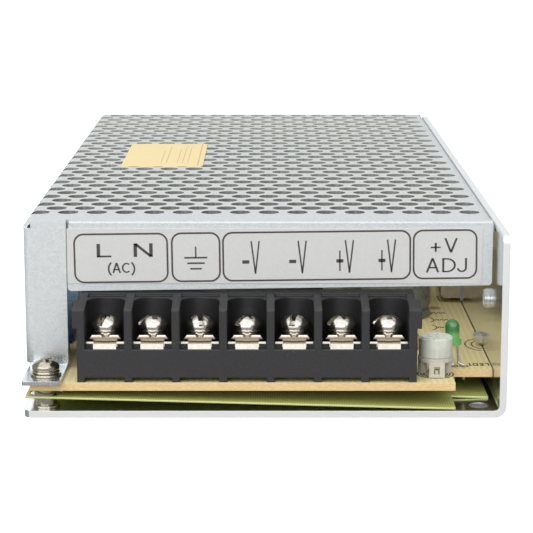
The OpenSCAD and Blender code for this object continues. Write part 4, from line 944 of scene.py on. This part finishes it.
def clear_glass():
    """Fuse tube: clear glass with faint streaks."""
    material, tree, shader = start_material("clear_glass", Transmission_Weight=1.0, IOR=1.5)
    streaks = use_group(tree, GRAIN, Scale=300.0, Stretch=(0.1, 1, 1))["Value"]
    feed(tree, shader, Base_Color=blend_colours(tree, streaks, srgb(226, 238, 236), srgb(244, 250, 249)),
         Roughness=between(tree, streaks, 0.02, 0.08))
    return material


PLATED_NODES = ["standoffs", "board_screws", "spring_washers", "flat_washers", "cover_screws",
                "device_screws", "fuse_caps"]
TERMINAL_NODES = [f"{part}_{k}" for part in ("clamp_washer", "terminal_screw") for k in POLES]
TERMINAL_NODES.append("terminal_plates")


def metal_finishes():
    """Finishes of the case and of the bare metal, by slot, with the CAD nodes that wear them."""
    plated = coat("plated", (srgb(178, 171, 154), srgb(198, 192, 177)), grain=1400.0, rough=(0.12, 0.24),
                  bump=0.002, edge=0.4, Metallic=1.0)
    tinned = coat("tinned", (srgb(196, 197, 197), srgb(220, 221, 221)), rough=(0.2, 0.35), bump=0.004,
                  edge=None, Metallic=1.0)
    return {
        "chassis_metal": (aluminium_sheet(), ["chassis"]),
        "cover_metal": (zinc_sheet(), ["cover"]),
        "plated_steel": (plated, PLATED_NODES),
        "nickel": (bright_nickel(), TERMINAL_NODES),
        "tinned_wire": (tinned, ["lamp_leads"]),
    }


def front_finishes():
    """Finishes of board, sheet, labels, terminal block, trimmer and lamp, by slot, with their CAD nodes."""
    label = coat("label_film", (srgb(206, 206, 205), srgb(210, 210, 209)), grain=1800.0, rough=(0.42, 0.55),
                 bump=0.003, edge=0.08)
    sticker = coat("sticker_film", (srgb(238, 215, 146), srgb(243, 222, 158)), grain=800.0, rough=(0.4, 0.52),
                   bump=0.004, edge=0.08)
    trimmer = coat("trimmer_plastic", (srgb(199, 196, 183), srgb(212, 209, 198)), rough=(0.32, 0.45),
                   bump=0.006, edge=0.2, Subsurface_Weight=0.25, Subsurface_Radius=(0.001, 0.001, 0.0008))
    return {
        "sheet_film": (ribbed_film(), ["insulating_sheet"]),
        "board": (board_laminate(), ["main_board"]),
        "front_label": (label, ["front_label"]),
        "top_label": (sticker, ["top_label"]),
        "block_plastic": (block_plastic(), ["terminal_housing"]),
        "trimmer_plastic": (trimmer, ["trimmer_base"]),
        "trimmer_cap": (milky_cap(), ["trimmer_rotor"]),
        "lamp_plastic": (lamp_resin(), ["lamp_lens"]),
    }


def inner_finishes():
    """Finishes of the parts under the cover, by slot, with the CAD nodes that wear them."""
    black = (srgb(40, 40, 41), srgb(52, 52, 53))
    filter_box = coat("box_plastic", (srgb(112, 130, 148), srgb(126, 145, 162)), rough=(0.3, 0.42))
    limiter = coat("limiter_lacquer", (srgb(66, 78, 52), srgb(82, 95, 64)), bump=0.02)
    ferrite = coat("ferrite", (srgb(58, 58, 60), srgb(74, 74, 76)), grain=2400.0, rough=(0.5, 0.7), bump=0.02,
                   worn=srgb(112, 112, 114))
    chip = coat("chip_plastic", black, grain=2600.0, rough=(0.5, 0.65))
    storage = capacitor_sleeve("storage_sleeve", (srgb(34, 38, 58), srgb(46, 52, 74)), srgb(196, 198, 200))
    bobbin = coat("bobbin_plastic", black, rough=(0.4, 0.55))
    cap = coat("silicone_cap", (srgb(186, 174, 148), srgb(202, 191, 166)), rough=(0.55, 0.7), bump=0.02)
    pad = coat("silicone_pad", (srgb(166, 167, 170), srgb(180, 181, 184)), rough=(0.6, 0.75))
    core = coat("core_coat", (srgb(210, 194, 98), srgb(224, 210, 122)), rough=(0.4, 0.55), bump=0.02)
    enamel = coat("enamel", (srgb(164, 88, 40), srgb(188, 108, 54)), rough=(0.18, 0.3), Coat_Weight=0.4)
    output = capacitor_sleeve("output_sleeve", (srgb(112, 118, 112), srgb(128, 134, 128)),
                              srgb(206, 208, 208))
    film = coat("film_dip", (srgb(206, 188, 146), srgb(220, 203, 164)), rough=(0.35, 0.5), bump=0.02)
    opto = coat("opto_plastic", (srgb(226, 224, 216), srgb(236, 234, 228)), rough=(0.45, 0.6))
    return {
        "fuse_glass": (clear_glass(), ["fuse_tube"]),
        "filter_box": (filter_box, ["filter_capacitor"]),
        "disc_lacquer": (blue_lacquer_paler_top(), ["disc_capacitors"]),
        "limiter_lacquer": (limiter, ["inrush_limiter"]),
        "ferrite": (ferrite, ["line_choke_core", "transformer_core"]),
        "winding_tape": (winding_tape(), ["line_choke_windings", "transformer_winding"]),
        "chip_plastic": (chip, ["bridge_rectifier", "control_chip"]),
        "storage_sleeve": (storage, ["storage_capacitors"]),
        "bobbin_plastic": (bobbin, ["transformer_bobbin"]),
        "device_cap": (cap, ["switching_transistors", "output_rectifiers"]),
        "device_pad": (pad, ["insulating_pads"]),
        "choke_core_coat": (core, ["output_choke_core"]),
        "enamelled_wire": (enamel, ["output_choke_winding"]),
        "output_sleeve": (output, ["output_capacitors"]),
        "film_dip": (film, ["film_capacitor"]),
        "opto_plastic": (opto, ["optocoupler"]),
        "resistor_coat": (banded_resistor(), ["resistors"]),
    }


def dress_nodes():
    """Gives every CAD node its finish and returns the finishes by slot."""
    finishes = metal_finishes() | front_finishes() | inner_finishes()
    for material, names in finishes.values():
        for name in names:
            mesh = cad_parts[name].data
            mesh.materials.clear()
            mesh.materials.append(material)
    return {slot: material for slot, (material, names) in finishes.items()}


# Floor

FLOOR_HALF, FLOOR_POINTS = 6, 13
FLOOR_GLOW = 0.92


def floor_paper():
    """Floor: matt paper that the camera sees as white and the metals above it as a pale grey."""
    material, tree, shader = start_material("floor_paper", Emission_Color=(1, 1, 1, 1))
    fine = use_group(tree, GRAIN, Scale=40.0)["Value"]
    seen = add_node(tree, "ShaderNodeLightPath").outputs["Is Camera Ray"]
    feed(tree, shader, Base_Color=blend_colours(tree, fine, srgb(146, 146, 146), srgb(150, 150, 150)),
         Roughness=between(tree, fine, 0.75, 0.85), Emission_Strength=product(tree, seen, FLOOR_GLOW))
    return material


def add_floor():
    """Plain pale floor, a wide flat square grid under the part."""
    half = np.linspace(-FLOOR_HALF, FLOOR_HALF, FLOOR_POINTS)
    x, y = np.meshgrid(half, half, indexing="ij")
    points = np.stack([x, y, np.zeros_like(x)], axis=-1).reshape(-1, 3)
    mesh = bpy.data.meshes.new("floor")
    mesh.from_pydata(points.tolist(), [], grid_quads(FLOOR_POINTS, FLOOR_POINTS)[:, ::-1].tolist())
    mesh.materials.append(floor_paper())
    floor = bpy.data.objects.new("floor", mesh)
    bpy.context.scene.collection.objects.link(floor)


add_camera()
light_studio()
add_floor()
FINISH = dress_nodes()
LABEL_INK = coat("label_ink", (srgb(62, 58, 56), srgb(76, 72, 70)), grain=2200.0, bump=0.003, edge=0.02)
BOARD_INK = coat("board_ink", (srgb(44, 41, 33), srgb(66, 61, 48)), grain=2600.0, rough=(0.5, 0.6), edge=0.02)
RULE_INK = coat("rule_ink", (srgb(196, 174, 110), srgb(212, 190, 126)), rough=(0.4, 0.5), edge=0.02)
add_piece("front_label_print", front_print(), LABEL_INK, "case")
add_piece("board_marks", board_print(), BOARD_INK, "case")
add_piece("top_label_rules", sticker_rules(), RULE_INK, "case")
add_piece("solder_joints", solder_joints(), FINISH["tinned_wire"], "case")
